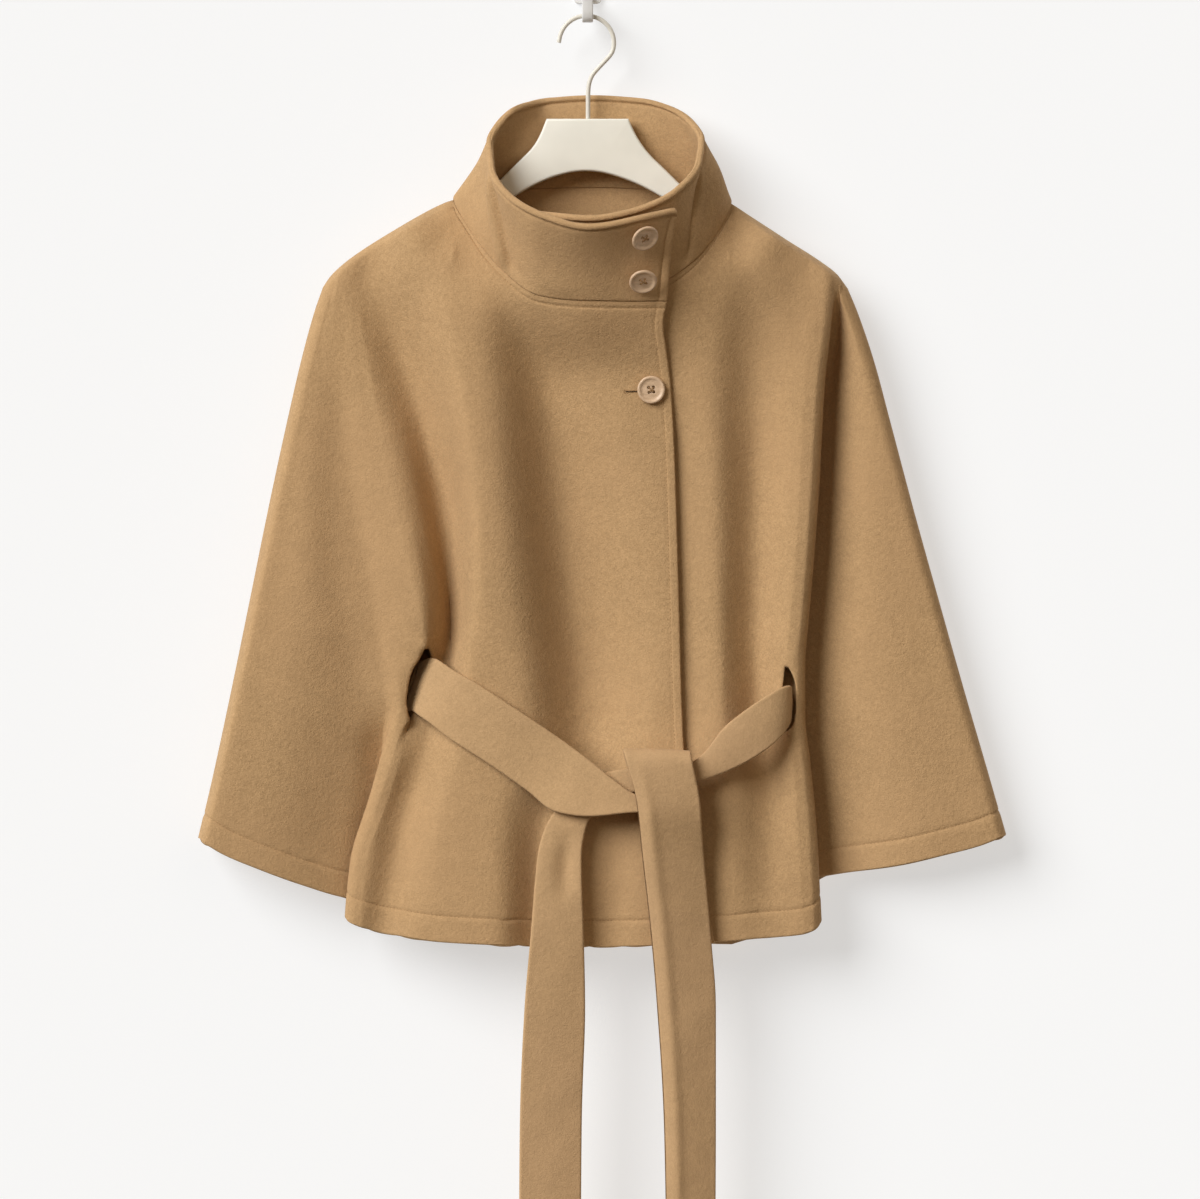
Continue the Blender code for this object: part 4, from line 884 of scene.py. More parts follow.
def frontPanel(spec):
    neckT = np.delete(spec["neckT"], [-3, -2])  # no slivers where the seam meets the shoulder
    base, apart, out = neckFrame(neckT)
    tops = base - apart
    edge, lip = spec["edge"](tops[:, 2]), spec["lines"].at("lip", tops[:, 2])
    neckPlaces = (tops[:, 0] - edge) / (lip - edge)
    further = [place for place in bodyPlaces if place > neckPlaces[-1] + 0.008]
    parts = [list(neckPlaces) + further, foldPlaces, wingPlaces, edgePlaces]
    places = np.concatenate([np.array(part, float) for part in parts])
    kinds = np.repeat(np.arange(4), [len(part) for part in parts])
    count = len(neckT)

    top = np.full((1, len(places)), -250.0)
    top[0, :count] = tops[:, 2]
    hem = np.full((1, len(places)), -830.0)
    for _ in range(drape["searchRounds"]):
        x, _ = frontSection(spec, kinds, places, top)
        top[0, count:] = lerp(top[0, count:], spec["shoulder"].at("z", x[0, count:]), 0.6)
        x, _ = frontSection(spec, kinds, places, hem)
        hem = lerp(hem, frontHem(spec, kinds, places, x), 0.6)

    onBody = np.where(kinds == 0, places, 99)
    inner, outer = (int(np.argmin(np.abs(onBody - side))) for side in (3, 4))  # the slit's two sides
    upper = top[0, inner] - drape["topRows"][-1]
    lower = hem[0, inner] + drape["hemRows"][0]
    marks = [(upper - z) / (upper - lower) for z in spec["slitRows"]]
    z, shares, first = panelRows(top[0], hem[0], marks)
    x, y = frontSection(spec, kinds, places, z)
    y = turnedEdge(y, x, z, -1)
    # the cloth is brought to the neck seam, less and less away from it
    shoulder = spec["shoulder"]
    overX = tops[-1, 0] + spec["way"] * np.arange(1.5, 105, 2.0)
    held = np.concatenate([tops[:, [0, 2]], np.stack([overX, shoulder.at("z", overX)], axis=-1)])
    wanted = np.concatenate([tops[:, 1] - y[0, :count], 0 * overX])
    away = np.hypot(x[..., None] - held[:, 0], z[..., None] - held[:, 1])
    near = 1 / (away**2 + 0.5) ** 2
    shift = (near * wanted).sum(-1) / near.sum(-1)
    y = y + shift * (1 - ease(away[..., :count].min(-1) / drape["neckReach"]))
    x[0, :count], y[0, :count], z[0, :count] = tops.T
    points = np.stack([x, y, z], axis=-1)

    slitFirst = first + int(np.argmin(np.abs(shares - marks[0])))
    slitLast = first + int(np.argmin(np.abs(shares - marks[-1])))
    hole = np.zeros((len(z) - 1, len(places) - 1), bool)
    hole[slitFirst:slitLast, inner:outer] = True
    keep = np.zeros(z.shape, bool)
    keep[:2] = keep[:, -4:] = True
    keep[-1:] = keep[:, :1] = True
    keep[slitFirst - 1 : slitLast + 2, inner : outer + 1] = True
    keep[:20, count - 3 : count + 2] = True
    points = relax(points, drape["relaxRounds"], keep)

    acrossRun, downRun = along(points, 1), along(points, 0)
    fromTop, fromHem = downRun, downRun[-1] - downRun
    fromLap, fromWing = acrossRun, acrossRun[:, -1:] - acrossRun
    flat, calm = waved(points, fromTop, fromWing, 0.8, 5)
    pucker = ripple(flat, 9.0, 8) * np.exp(-(((fromHem - cloth["hemFold"]) / 7.0) ** 2))
    points[..., 1] += drape["pucker"] * pucker * calm

    byNeck = (np.arange(len(places)) < count) * 1.0
    outerHalf, innerHalf = hemmed(fromTop, fromHem, fromWing, byNeck, 1.1)
    if spec["name"] == "left":
        outerHalf += 0.3 * (1 - ease((fromLap - 7) / 3))
        outerHalf -= cloth["lapDent"] * groove(fromLap, cloth["lapStitch"], 1.1) * ease(fromTop / 8)
    outerHalf = seamSoftened(outerHalf, np.minimum(fromTop, fromWing))
    free = np.minimum(fromHem, fromLap)
    outerHalf = np.minimum(outerHalf, rounded(free, 1.5))
    innerHalf = np.minimum(innerHalf, rounded(free, 1.6))
    # the slit's sides are turned in too
    beside = np.where(np.arange(len(places)) <= inner, acrossRun[:, inner : inner + 1] - acrossRun,
                      acrossRun - acrossRun[:, outer : outer + 1])
    row = np.arange(len(z))[:, None]
    beyond = np.where((row >= slitFirst) & (row <= slitLast), 0.0, 5.0)
    aside = np.sqrt(np.maximum(beside, 0) ** 2 + beyond**2)
    turnedIn = np.maximum(rounded(aside, cloth["slitEdge"]), 0.1) + (aside > cloth["slitEdge"]) * 9
    outerHalf, innerHalf = np.minimum(outerHalf, turnedIn), np.minimum(innerHalf, turnedIn)

    borders = [
        (np.s_[:, -1], squareTo(points[:, -1, 0], points[:, -1, 2], 0, spec["way"])),
        (np.s_[0, :count], out),
        (np.s_[0, count:], squareTo(points[0, count:, 0], points[0, count:, 2], 2, 1)),
    ]
    made, skin, normals, _ = clothShell(
        spec["piece"], points, outerHalf, innerHalf, spec["way"], wool, borders, hole
    )
    return made, skin, normals, {"across": acrossRun, "count": count}


def stepsTo(first, last, step):
    # even steps of about the given size, with both ends
    return list(np.linspace(first, last, max(int(round(abs(last - first) / step)), 1) + 1))


# columns across a front: down the wing's edge, round the turned fold, over the wing and over the body
edgePlaces = [1.0, 0.86, 0.7, 0.54, 0.4, 0.28, 0.18, 0.1, 0.05, 0.02, 0.0]
foldPlaces = stepsTo(0.07, 1.0, 0.07) + stepsTo(1.2, 1.8, 0.2) + stepsTo(2.0, 3.0, 0.07)
wingPlaces = stepsTo(0.025, 0.975, 0.0243)
bodyPlaces = stepsTo(0.0, 1.0, 0.0145) + stepsTo(1.1, 2.0, 0.1) + stepsTo(2.2, 2.8, 0.2) + [2.93, 3.0]
bodyPlaces += [3.1, 3.5, 3.9, 4.0, 4.1] + stepsTo(4.3, 5.0, 0.175)
lapSteps = [0, 0.12, 0.4, 0.9, 1.7, 3.0, 5.0, 6.6, 7.4, 8.0, 8.6, 9.6, 11.5, 14.5]

leftFront = {
    "piece": "lappedFront",
    "name": "left",
    "way": -1,  # towards its wing
    "lines": leftLines,
    "fold": leftFold,
    "side": sideLeft,
    "shoulder": shoulderLeft,
    "neckT": [d / 32.5 for d in lapSteps] + stepsTo(0.55, 6.0, 0.085),
    "edge": lambda z: lapEdge.at("x", z),
    "depths": leftDepths,
    "root": leftRoot,
    "low": 0.0,  # how much of the wing stays as far out as its root
    "drop": lambda x, z: 0 * x,
    "bodyHem": bodyHemLeft,
    "wingHem": wingHemLeft,
    "slit": (-584, -645),
    "slitRows": [-584, -584.6, -586, -588.4, -592] + stepsTo(-595.5, -636, 3.4)
    + [-639.5, -642, -644, -645],
}


def besideLap(z):
    # over how wide a strip the under front comes forward again beside the lap
    return lerp(16, 32, ease((-300 - z) / 110))


rightFront = {
    "piece": "underFront",
    "name": "right",
    "way": 1,
    "lines": rightLines,
    "fold": rightFold,
    "side": sideRight,
    "shoulder": shoulderRight,
    "neckT": list(reversed(stepsTo(10.0, 15.0, 0.08))),
    "edge": lambda z: lapEdge.at("x", z) - 74.0 - 33 * ease((z + 340) / 65),
    "depths": rightDepths,
    "root": None,
    "low": 0.13,
    "drop": lambda x, z: lapDrop.at("deep", z) * (
        1 - ease((x - lapEdge.at("x", z) - 2) / besideLap(z))
    ),
    "bodyHem": bodyHemRight,
    "wingHem": wingHemRight,
    "slit": (-600, -657),
    "slitRows": [-600, -600.6, -602, -604.4, -608] + stepsTo(-611.5, -648, 3.4)
    + [-651.5, -654, -656, -657],
}

lapped, lappedSkin, lappedFacing, lappedRuns = frontPanel(leftFront)
print("lapped front ready")
under, underSkin, underFacing, underRuns = frontPanel(rightFront)
print("under front ready")


backHem = Rows("x z",
    (-340, -751), (-287, -778), (-213, -802), (-120, -824), (-20, -838), (60, -842), (126, -845),
    (150, -836), (175, -815), (195, -794), (215, -783), (240, -778), (273, -772.5), (308, -765.5),
    (366, -749))
backFolds = [  # as on the fronts
    Rows("z x left right out",
         (-300, -70, 30, 30, 0), (-450, -92, 40, 40, 1.6), (-700, -128, 52, 52, 2.8),
         (-830, -150, 60, 60, 3.2)),
    Rows("z x left right out",
         (-330, 20, 34, 34, 0), (-520, 14, 44, 44, 1.6), (-842, 4, 60, 60, 2.4)),
    Rows("z x left right out",
         (-300, 96, 30, 30, 0), (-460, 122, 42, 42, 1.6), (-700, 160, 54, 54, 2.8),
         (-820, 184, 60, 60, 3.2)),
]


def backPanel():
    neckT = np.array(stepsTo(6.0, 10.0, 0.075)[1:-1])
    base, apart, out = neckFrame(neckT)
    tops = base - apart
    roll = cloth["roll"]
    left, right = stepsTo(-222.0, -117.6, 4.2), stepsTo(125.6, 212.0, 4.2)
    shares = sorted(edgePlaces)
    kinds = ["left"] * len(shares) + ["across"] * len(left) + ["neck"] * len(neckT)
    kinds += ["across"] * len(right) + ["right"] * len(shares)
    turning = [roll * share for share in shares]
    starts = np.array(turning + left + list(tops[:, 0]) + right + turning[::-1])
    kinds = np.array(kinds)
    first = kinds.tolist().index("neck")
    final = first + len(neckT)
    topLeft, topRight = sideLeft.values[-1, 1] + roll, sideRight.values[-1, 1] - roll

    def columnX(z):
        # where each column lies at a height, as the back widens downwards
        farLeft, farRight = sideLeft.at("x", z), sideRight.at("x", z)
        share = (starts - topLeft) / (topRight - topLeft)
        across = lerp(farLeft + roll, farRight - roll, share)
        across = np.where(kinds == "left", farLeft + starts, across)
        return np.where(kinds == "right", farRight - starts, across)

    z0 = np.full(len(starts), -250.0)
    hem = np.full(len(starts), -800.0)
    for _ in range(drape["searchRounds"]):
        x = columnX(z0)
        z0 = lerp(z0, np.where(x < 0, shoulderLeft.at("z", x), shoulderRight.at("z", x)), 0.6)
        hem = lerp(hem, backHem.at("z", columnX(hem)), 0.6)
    z0[first:final] = tops[:, 2]
    z, _, _ = panelRows(z0, hem)
    x = columnX(z)
    ahead = 1 - ease((z0 - z) / 120)
    neckMask = kinds == "neck"
    x = x + np.where(neckMask, (starts - x[0]) * ahead, 0)
    side = np.abs(x - 8.0) / np.interp(-z, (190, 800), (240, 360))
    plain = hang["backY"] - 3 * side**2 - 2 * ease((z + 300) / 100)
    y = turnedEdge(plain - softFolds(backFolds, x, z), x, z, 1)
    wanted = np.zeros(len(starts))
    wanted[first:final] = tops[:, 1] - y[0, first:final]
    y = y + wanted * (1 - ease((z0 - z) / 14.0))
    points = np.stack([x, y, z], axis=-1)
    keep = np.zeros(z.shape, bool)
    keep[:3] = keep[-1:] = keep[:, :4] = keep[:, -4:] = True
    points = relax(points, 6, keep)
    acrossRun, downRun = along(points, 1), along(points, 0)
    fromTop, fromHem = downRun, downRun[-1] - downRun
    fromWing = fromSides(acrossRun)
    waved(points, fromTop, fromWing, 0.7, 15)
    outerHalf, innerHalf = hemmed(fromTop, fromHem, fromWing, neckMask * 1.0, 1.0)
    outerHalf = seamSoftened(outerHalf, np.minimum(fromTop, fromWing))
    outerHalf = np.minimum(outerHalf, rounded(fromHem, 1.5))
    innerHalf = np.minimum(innerHalf, rounded(fromHem, 1.6))
    borders = [
        (np.s_[:, 0], squareTo(points[:, 0, 0], points[:, 0, 2], 0, -1)),
        (np.s_[:, -1], squareTo(points[:, -1, 0], points[:, -1, 2], 0, 1)),
        (np.s_[0, :first], squareTo(points[0, :first, 0], points[0, :first, 2], 2, 1)),
        (np.s_[0, final:], squareTo(points[0, final:, 0], points[0, final:, 2], 2, 1)),
        (np.s_[0, first:final], out),
    ]
    made, skin, normals, _ = clothShell("backPanel", points, outerHalf, innerHalf, -1, wool, borders)
    return made, skin, normals, {"first": first, "final": final}


back, backSkin, backFacing, backRuns = backPanel()
print("back ready")


collarForm = {
    "rimRoll": 2.0,  # how far the rolled rim stands proud
    "rimStitch": 5.4,
    "rimRows": (0, 0.06, 0.25, 0.6, 1.2, 2.0, 2.9, 3.8, 4.6, 5.4, 6.2, 7.0, 8.4, 10.8),
    "endStitch": 8.0,
    "corner": 5.0,
    "bow": 3.2,
    "nipped": 9.0,  # how much less it bows out at its right corner
    "leftCrease": 4.4,
    "hollow": 3.4,  # beside the left crease
    "rightCrease": 3.8,
}


def softCreases(t, share):
    # two folds run from the rim to the seam where the collar turns from its front to its sides
    turned = lambda u, fade: ease((2.4 - u) / 4.8) * np.exp(np.minimum(u + 2.4, 0) / fade)
    fromLeft = (t - 3.75 - 1.25 * share) * 39  # how far round from the left one, in millimetres
    fromRight = (12.0 - 1.1 * share - t) * 36
    left = collarForm["leftCrease"] * turned(fromLeft, 15.0)
    left = left - collarForm["hollow"] * bell((fromLeft - 7) / 8) - 1.6 * bell((t - 2.6 - share) / 0.7)
    right = collarForm["rightCrease"] * turned(fromRight, 9.0)
    return (left + right) * ease(share / 0.16) * (1 - ease((share - 0.74) / 0.2))


def collarPiece():
    c = collarForm
    ends = [0, 0.1, 0.35, 0.8, 1.6, 2.8, 4.4, 6.2, 7.4, 8.0, 8.6, 9.8, 12, 15]
    first, final = [d / 34 for d in ends], [15 - d / 34 for d in reversed(ends)]
    t = np.array(first + stepsTo(0.55, 14.5, 0.055) + final)
    _, apart, out = neckFrame(t)
    base, rim = collarPlace(t, 0.0) + apart, collarPlace(t, 1.0)
    height = np.linalg.norm(rim - base, axis=-1)
    low = [0, 0.3, 0.8, 1.6, 3.2, 5.6]
    high = list(reversed(c["rimRows"]))
    middle = np.linspace(0, 1, 20)[1:-1]
    upper, lower = height - high[0], np.full(len(t), low[-1])
    runs = [np.full(len(t), d) for d in low] + [lerp(lower, upper, s) for s in middle]
    runs += [height - d for d in high]
    up = np.array(runs)
    points = base + (rim - base) * (up / height)[..., None]
    fromEnd = fromSides(along(points, 1))
    # the two ends have rounded upper corners
    drop = c["corner"] * (1 - np.sqrt(1 - np.clip(1 - fromEnd / c["corner"], 0, 1) ** 2))
    points = points - unit(rim - base) * (drop * (up / height) ** 3)[..., None]
    normals = gridNormals(points) * -1
    share = up / height
    bow = c["bow"] - c["nipped"] * bell((t - 10.45) / 0.95)
    points = points + normals * (bow * np.sin(np.pi * share) ** 1.3)[..., None]
    keep = np.zeros(up.shape, bool)
    keep[:1] = keep[-1:] = keep[:, :1] = keep[:, -1:] = True
    points = relax(points, 4, keep)
    normals = gridNormals(points) * -1
    calm = np.sin(np.pi * np.clip(share, 0, 1)) ** 0.5
    creased = softCreases(t, share) + 0.5 * calm * ripple(points, 48.0, 31)
    points = points + normals * creased[..., None]
    fromRim = height - up
    fromEnd = fromSides(along(points, 1))
    both = cloth["collarThick"] / 2 + c["rimRoll"] * np.exp(-(((fromRim - 2.5) / 1.9) ** 2))
    both -= 1.2 * groove(fromRim, c["rimStitch"] + 0.3, 1.3) * ease(fromEnd / 3)
    both -= 0.85 * groove(fromEnd, c["endStitch"], 1.1) * ease((fromRim - 3) / 3)
    both += 0.6 * np.exp(-(((fromEnd - 3.0) / 2.6) ** 2))
    both = np.minimum(both, rounded(np.minimum(fromRim, fromEnd), 3.2))
    both = seamSoftened(both, up, 0.9, 1.4)
    made, skin, facing, inside = clothShell("standCollar", points, both, both, -1, wool, [(0, out)])
    return made, skin, facing, inside, t


collar, collarSkin, collarFacing, collarInside, collarT = collarPiece()
print("collar ready")


# each stretch of the belt, by its upper and lower edge
beltOverRows = Rows("t topX topZ topY lowX lowZ lowY",
    (0, -146, -596, -37.5, -160.5, -639, -38.5), (1, -141.5, -594.5, -45, -154, -638.5, -46.8),
    (2, -135.5, -592, -51.5, -148, -643, -55.5), (3, -118, -603, -67.5, -136, -651, -66),
    (4, -100, -613, -75, -124, -661, -71), (5, -64, -636, -80, -88, -684, -77.5),
    (6, -24, -663, -81, -52, -709, -80), (7, 2, -682, -86, -28, -727, -87),
    (8, 22, -698, -89, 2, -731, -91), (9, 43, -712, -91, 44, -727, -93),
    (10, 64, -716, -91, 66, -729, -93))
beltUnderRows = Rows("t topX topZ topY lowX lowZ lowY",
    (0, 171, -617.5, -50, 171, -647, -49.8), (1, 178, -617, -58, 177, -648, -58.5),
    (2, 173, -617, -68, 173, -656, -69), (3, 159, -624, -75, 162, -668, -76),
    (4, 138, -638, -78.5, 145, -680, -80), (5, 118, -654, -80.5, 124, -691, -82),
    (6, 98, -679, -82, 98, -700, -83.5), (7, 68, -692, -84, 68, -706, -84),
    (8, 38, -689, -82, 40, -710, -84), (9, 14, -693, -80, 16, -720, -81),
    (10, -8, -706, -79, 2, -733, -81), (11, -30, -728, -79, -2, -745, -81),
    (12, -42, -756, -79, -5, -768, -82), (13, -50, -840, -84, -3, -842, -80),
    (14, -55, -900, -83, -2, -900, -78), (15, -59, -1000, -80, -5, -1000, -75),
    (16, -60, -1150, -78, -6, -1150, -73))
beltTailRows = Rows("t topX topZ topY lowX lowZ lowY",
    (0, 42, -724, -77.5, 90, -724, -77.5), (1, 36, -696, -77.5, 90, -697, -77.5),
    (2, 32, -680, -79.5, 90, -682, -79.5), (3, 30.5, -671.5, -88, 90, -673.5, -88),
    (4, 33, -680, -97, 91, -682, -97), (5, 43, -718, -100, 98, -718, -95),
    (6, 48, -761, -94, 101, -761, -82), (7, 57, -840, -85, 108, -840, -71.5),
    (8, 62, -900, -82, 112, -900, -69), (9, 68, -1000, -80, 112, -1000, -67),
    (10, 71, -1165, -78, 111, -1165, -66))
beltBackRows = Rows("t topX topZ topY lowX lowZ lowY",
    (0, -146.6, -596, -35.9, -161, -639, -36.9), (1, -148, -596, -30, -161.5, -639.5, -31),
    (2, -143, -595, -23.5, -156, -640, -25), (3, -120, -591, -18.5, -126, -640, -19),
    (4, -60, -585, -16, -60, -636, -16), (5, 20, -581, -16, 20, -633, -16),
    (6, 90, -586, -16.5, 90, -638, -16.5), (7, 128, -593, -20, 129, -644, -20.5),
    (8, 142, -600, -21, 144, -648, -22), (9, 150, -607, -25, 152, -651, -26),
    (10, 160, -614, -34, 161, -650, -34), (11, 171, -617.5, -49.4, 171.4, -649, -49.2))

beltForm = {
    "edge": 1.9,  # how wide its pressed edges are rounded
    "samplesPerMm": 0.4,
    "smoothing": 8,
    "tailRidge": 1.3,
    "tailLean": 5.0,
    "pinch": 4.5,
}


def beltStrip(name, table, crown, ridge=None):
    # a flat strip of two layers with pressed edges, through its sections
    # its middle stands out by crown
    t = np.linspace(table.keys[0], table.keys[-1], 400)
    read = lambda side, where: np.stack([table.at(side + axis, where) for axis in "XYZ"], axis=-1)
    reach = along((read("top", t) + read("low", t)) / 2, 0)
    samples = int(reach[-1] * beltForm["samplesPerMm"]) + 2
    t = np.interp(np.linspace(0, reach[-1], samples), reach, t)
    reach = np.linspace(0, reach[-1], samples)
    top, low = read("top", t), read("low", t)
    for _ in range(beltForm["smoothing"]):
        for line in (top, low):
            line[1:-1] = (line[:-2] + 2 * line[1:-1] + line[2:]) / 4
    middle, width = (top + low) / 2, np.linalg.norm(top - low, axis=-1)
    across = (top - low) / width[:, None]
    out = unit(np.cross(across, np.gradient(middle, axis=0)))
    wide = width[:, None] / 2
    near = np.array([0, 0.05, 0.2, 0.45, 0.8, 1.25, 1.9, 3.2, 5.2])
    inner = np.linspace(-1, 1, 17)[1:-1]
    u = np.concatenate([-wide + near, inner * (wide - near[-1]), wide - near[::-1]], axis=1)
    half = cloth["beltThick"] / 2
    thick = np.minimum(half, rounded(np.minimum(u + wide, wide - u), beltForm["edge"]))
    lift = crown * (1 - (u / wide) ** 2)
    if ridge is not None:
        lift = lift + ridge(u, wide, reach[:, None])
    spot = middle[:, None] + across[:, None] * u[..., None]
    lift = lift + 0.3 * ripple(spot, 40.0, 41) * ease((wide - np.abs(u)) / 6)
    face = spot + out[:, None] * (lift + thick)[..., None]
    rear = spot + out[:, None] * (lift * 0.6 - thick)[..., None]
    faces = shellFaces(np.ones((u.shape[0] - 1, u.shape[1] - 1), bool))
    return meshObject(name, np.concatenate([face.reshape(-1, 3), rear.reshape(-1, 3)]), faces, beltWool)


def tailRidge(u, wide, reach):
    # the tail's left margin leans back from a soft lengthwise ridge
    beside = np.clip((u - (wide - 9)) / 9, 0, 1)
    ridge = np.exp(-(((u - wide + 10) / 4.5) ** 2))
    begun = ease((reach - 60) / 60)
    return (beltForm["tailRidge"] * ridge - beltForm["tailLean"] * beside**1.5) * begun


def underTwist(u, wide, reach):
    # the hanging end is pinched where it leaves the knot
    return -beltForm["pinch"] * np.exp(-(((u + 5) / 9) ** 2)) * bell((reach - 285) / 42)


beltOver = beltStrip("beltAcross", beltOverRows, crown=1.2)
beltUnder = beltStrip("beltBehind", beltUnderRows, crown=1.0, ridge=underTwist)
beltTail = beltStrip("beltTail", beltTailRows, crown=0.6, ridge=tailRidge)
beltBack = beltStrip("beltRound", beltBackRows, crown=0.4)
print("belt ready")


buttonForm = {
    "profile": (  # radius and height, from the back's edge over the rim to the dish
        (8.6, 0.0), (10.4, 0.25), (11.5, 0.9), (12.05, 1.6), (12.2, 2.2), (12.0, 2.9), (11.5, 3.4),
        (10.9, 3.6), (10.2, 3.5), (9.5, 3.15), (8.9, 2.7), (8.2, 2.42), (7.2, 2.3), (6.0, 2.32)),
    "sides": 72,
    "hole": 1.3,
    "pitch": 2.9,  # from the middle to each hole
    "thread": 0.26,
    "threadReach": 1.15,
}


def onCollar(t, height):
    # where a button lies on the collar, and which way it faces
    step = 0.3
    sections = np.array([t - step, t, t + step])
    low, high = collarPlace(sections, height - 0.1), collarPlace(sections, height + 0.1)
    facing = unit(np.cross(high[1] - low[1], low[2] - low[0]))
    return collarPlace(sections, height)[1] + facing * (cloth["collarThick"] / 2 + cloth["gap"]), facing


def onFront(x, z):
    step = 6.0
    xs, zs = np.array([x, x - step, x + step, x, x]), np.array([z, z, z, z - step, z + step])
    y = bodyDepth(xs, zs) - softFolds(frontFolds, xs, zs)
    facing = unit(np.array([(y[2] - y[1]) / step / 2, -1.0, (y[4] - y[3]) / step / 2]))
    return np.array([x, y[0], z]) + facing * (cloth["thick"] / 2 + 2 * cloth["gap"]), facing


def turned(profile, sides):
    # a solid turned about z, closed at both ends
    bm = bmesh.new()
    rings = []
    for radius, height in profile:
        rings.append([])
        for k in range(sides):
            angle = 2 * math.pi * k / sides
            place = (radius * math.cos(angle) * mm, radius * math.sin(angle) * mm, height * mm)
            rings[-1].append(bm.verts.new(place))
    for low, high in zip(rings, rings[1:]):
        for k in range(sides):
            n = (k + 1) % sides
            bm.faces.new((low[k], low[n], high[n], high[k]))
    bm.faces.new(reversed(rings[0]))
    bm.faces.new(rings[-1])
    return bm


def sewnButton(name, centre, facing, spin):
    b = buttonForm
    bm = turned(b["profile"], b["sides"])
    side = unit(np.cross((0, 0, 1), facing))
    place = Matrix(np.stack([side, np.cross(facing, side), facing], axis=-1).tolist()).to_4x4()
    place = Matrix.Translation(Vector(centre) * mm) @ place @ Matrix.Rotation(spin, 4, "Z")
    mesh = bpy.data.meshes.new(name)
    bm.to_mesh(mesh)
    bm.free()
    made = placed(name, mesh)
    drills = bmesh.new()
    for k in range(4):
        angle = math.pi / 4 + k * math.pi / 2
        aside, above = b["pitch"] * math.cos(angle) * mm, b["pitch"] * math.sin(angle) * mm
        spot = Matrix.Translation((aside, above, 0.002))
        size = {"radius1": b["hole"] * mm, "radius2": b["hole"] * mm, "depth": 0.008}
        bmesh.ops.create_cone(drills, cap_ends=True, segments=20, matrix=spot, **size)
    drillMesh = bpy.data.meshes.new("drill")
    drills.to_mesh(drillMesh)
    drills.free()
    drill = placed("drill", drillMesh)
    cut = made.modifiers.new("holes", "BOOLEAN")
    cut.operation, cut.object = "DIFFERENCE", drill
    soften = made.modifiers.new("eased", "BEVEL")
    soften.width, soften.segments, soften.limit_method = 0.00018, 2, "ANGLE"
    soften.angle_limit = math.radians(50)
    result = evaluatedMesh(made)
    made.modifiers.clear()
    made.data = result
    bpy.data.objects.remove(drill)
    made.data.materials.clear()
    made.data.materials.append(horn)
    made.data.shade_smooth()
    made.data.set_sharp_from_angle(angle=math.radians(38))
    made.data.transform(place)
    # the thread crosses between the holes, two strands each way
    lines = []
    reach = b["threadReach"]
    for turn in (math.pi / 4, 3 * math.pi / 4):
        for offset in (-0.32, 0.32):
            run = np.array([math.cos(turn), math.sin(turn), 0.0])
            beside = np.array([-run[1], run[0], 0.0]) * offset
            s = np.linspace(-reach, reach, 15)
            lift = 2.35 + 0.75 * np.sqrt(np.clip(1 - (s / reach) ** 4, 0, 1)) - 0.9 * (np.abs(s) > 1.0)
            raised = np.array([0, 0, 1.0]) * lift[:, None]
            lines.append(run * (s * b["pitch"])[:, None] + beside + raised)
    turning = np.array(place.to_3x3())
    lines = [line @ turning.T + np.array(centre) for line in lines]
    return made, tubes(name + "Thread", lines, b["thread"], threadWoolPaintedShade, 6)


def tubes(name, lines, radius, finish, sides):
    # closed round cords along some lines, in one mesh
    curve = bpy.data.curves.new(name, "CURVE")
    curve.dimensions = "3D"
    curve.bevel_depth = radius * mm
    curve.bevel_resolution = max(sides // 4, 1)
    curve.use_fill_caps = True
    for line in lines:
        spline = curve.splines.new("POLY")
        spline.points.add(len(line) - 1)
        for point, place in zip(spline.points, line):
            point.co = (*(np.array(place) * mm), 1)
    made = placed(name, curve)
    mesh = evaluatedMesh(made)
    bpy.data.objects.remove(made)
    mesh.materials.clear()
    mesh.materials.append(finish)
    mesh.shade_smooth()
    return placed(name, mesh)


buttons, buttonThreads = [], []
for name, node, (centre, facing), lean, spin in (  # lean tips a button on its thread
    ("topButton", "button_top", onCollar(0.9, 0.77), (0.14, 0, -0.2), 0.5),
    ("collarButton", "button_collar", onCollar(0.78, 0.27), (-0.08, 0, -0.26), 0.25),
    ("frontButton", "button_front", onFront(55.6, -358.8), (0.0, 0, -0.03), 0.1),
):
    centre = np.array(centre) + np.array(facing) * (0.8 + 10.5 * float(np.linalg.norm(lean)))
    facing = unit(np.array(facing) + np.array(lean))
    button, thread = sewnButton(name, centre, facing, spin)
    buttons.append((button, node))
    buttonThreads.append(thread)
print("buttons ready")


hangerForm = {
    "thick": 12.0,
    "top": -120.75,
    "edge": 2.2,
    "wire": 2.0,  # radius
    "hookRadius": 24.4,
    "hookCentre": (-0.9, -54.2),
}


def roundedLine(points, rounds=3):
    # rounds off a line's corners and keeps its two ends
    line = np.array(points, float)
    for _ in range(rounds):
        cut = np.stack([lerp(line[:-1], line[1:], 0.25), lerp(line[:-1], line[1:], 0.75)], axis=1)
        line = np.concatenate([line[:1], cut.reshape(-1, 2)[1:-1], line[-1:]])
    return line


def hardPiece(name, bm, finish):
    mesh = bpy.data.meshes.new(name)
    bm.to_mesh(mesh)
    bm.free()
    mesh.shade_smooth()
    mesh.set_sharp_from_angle(angle=math.radians(35))
    mesh.materials.append(finish)
    return placed(name, mesh)


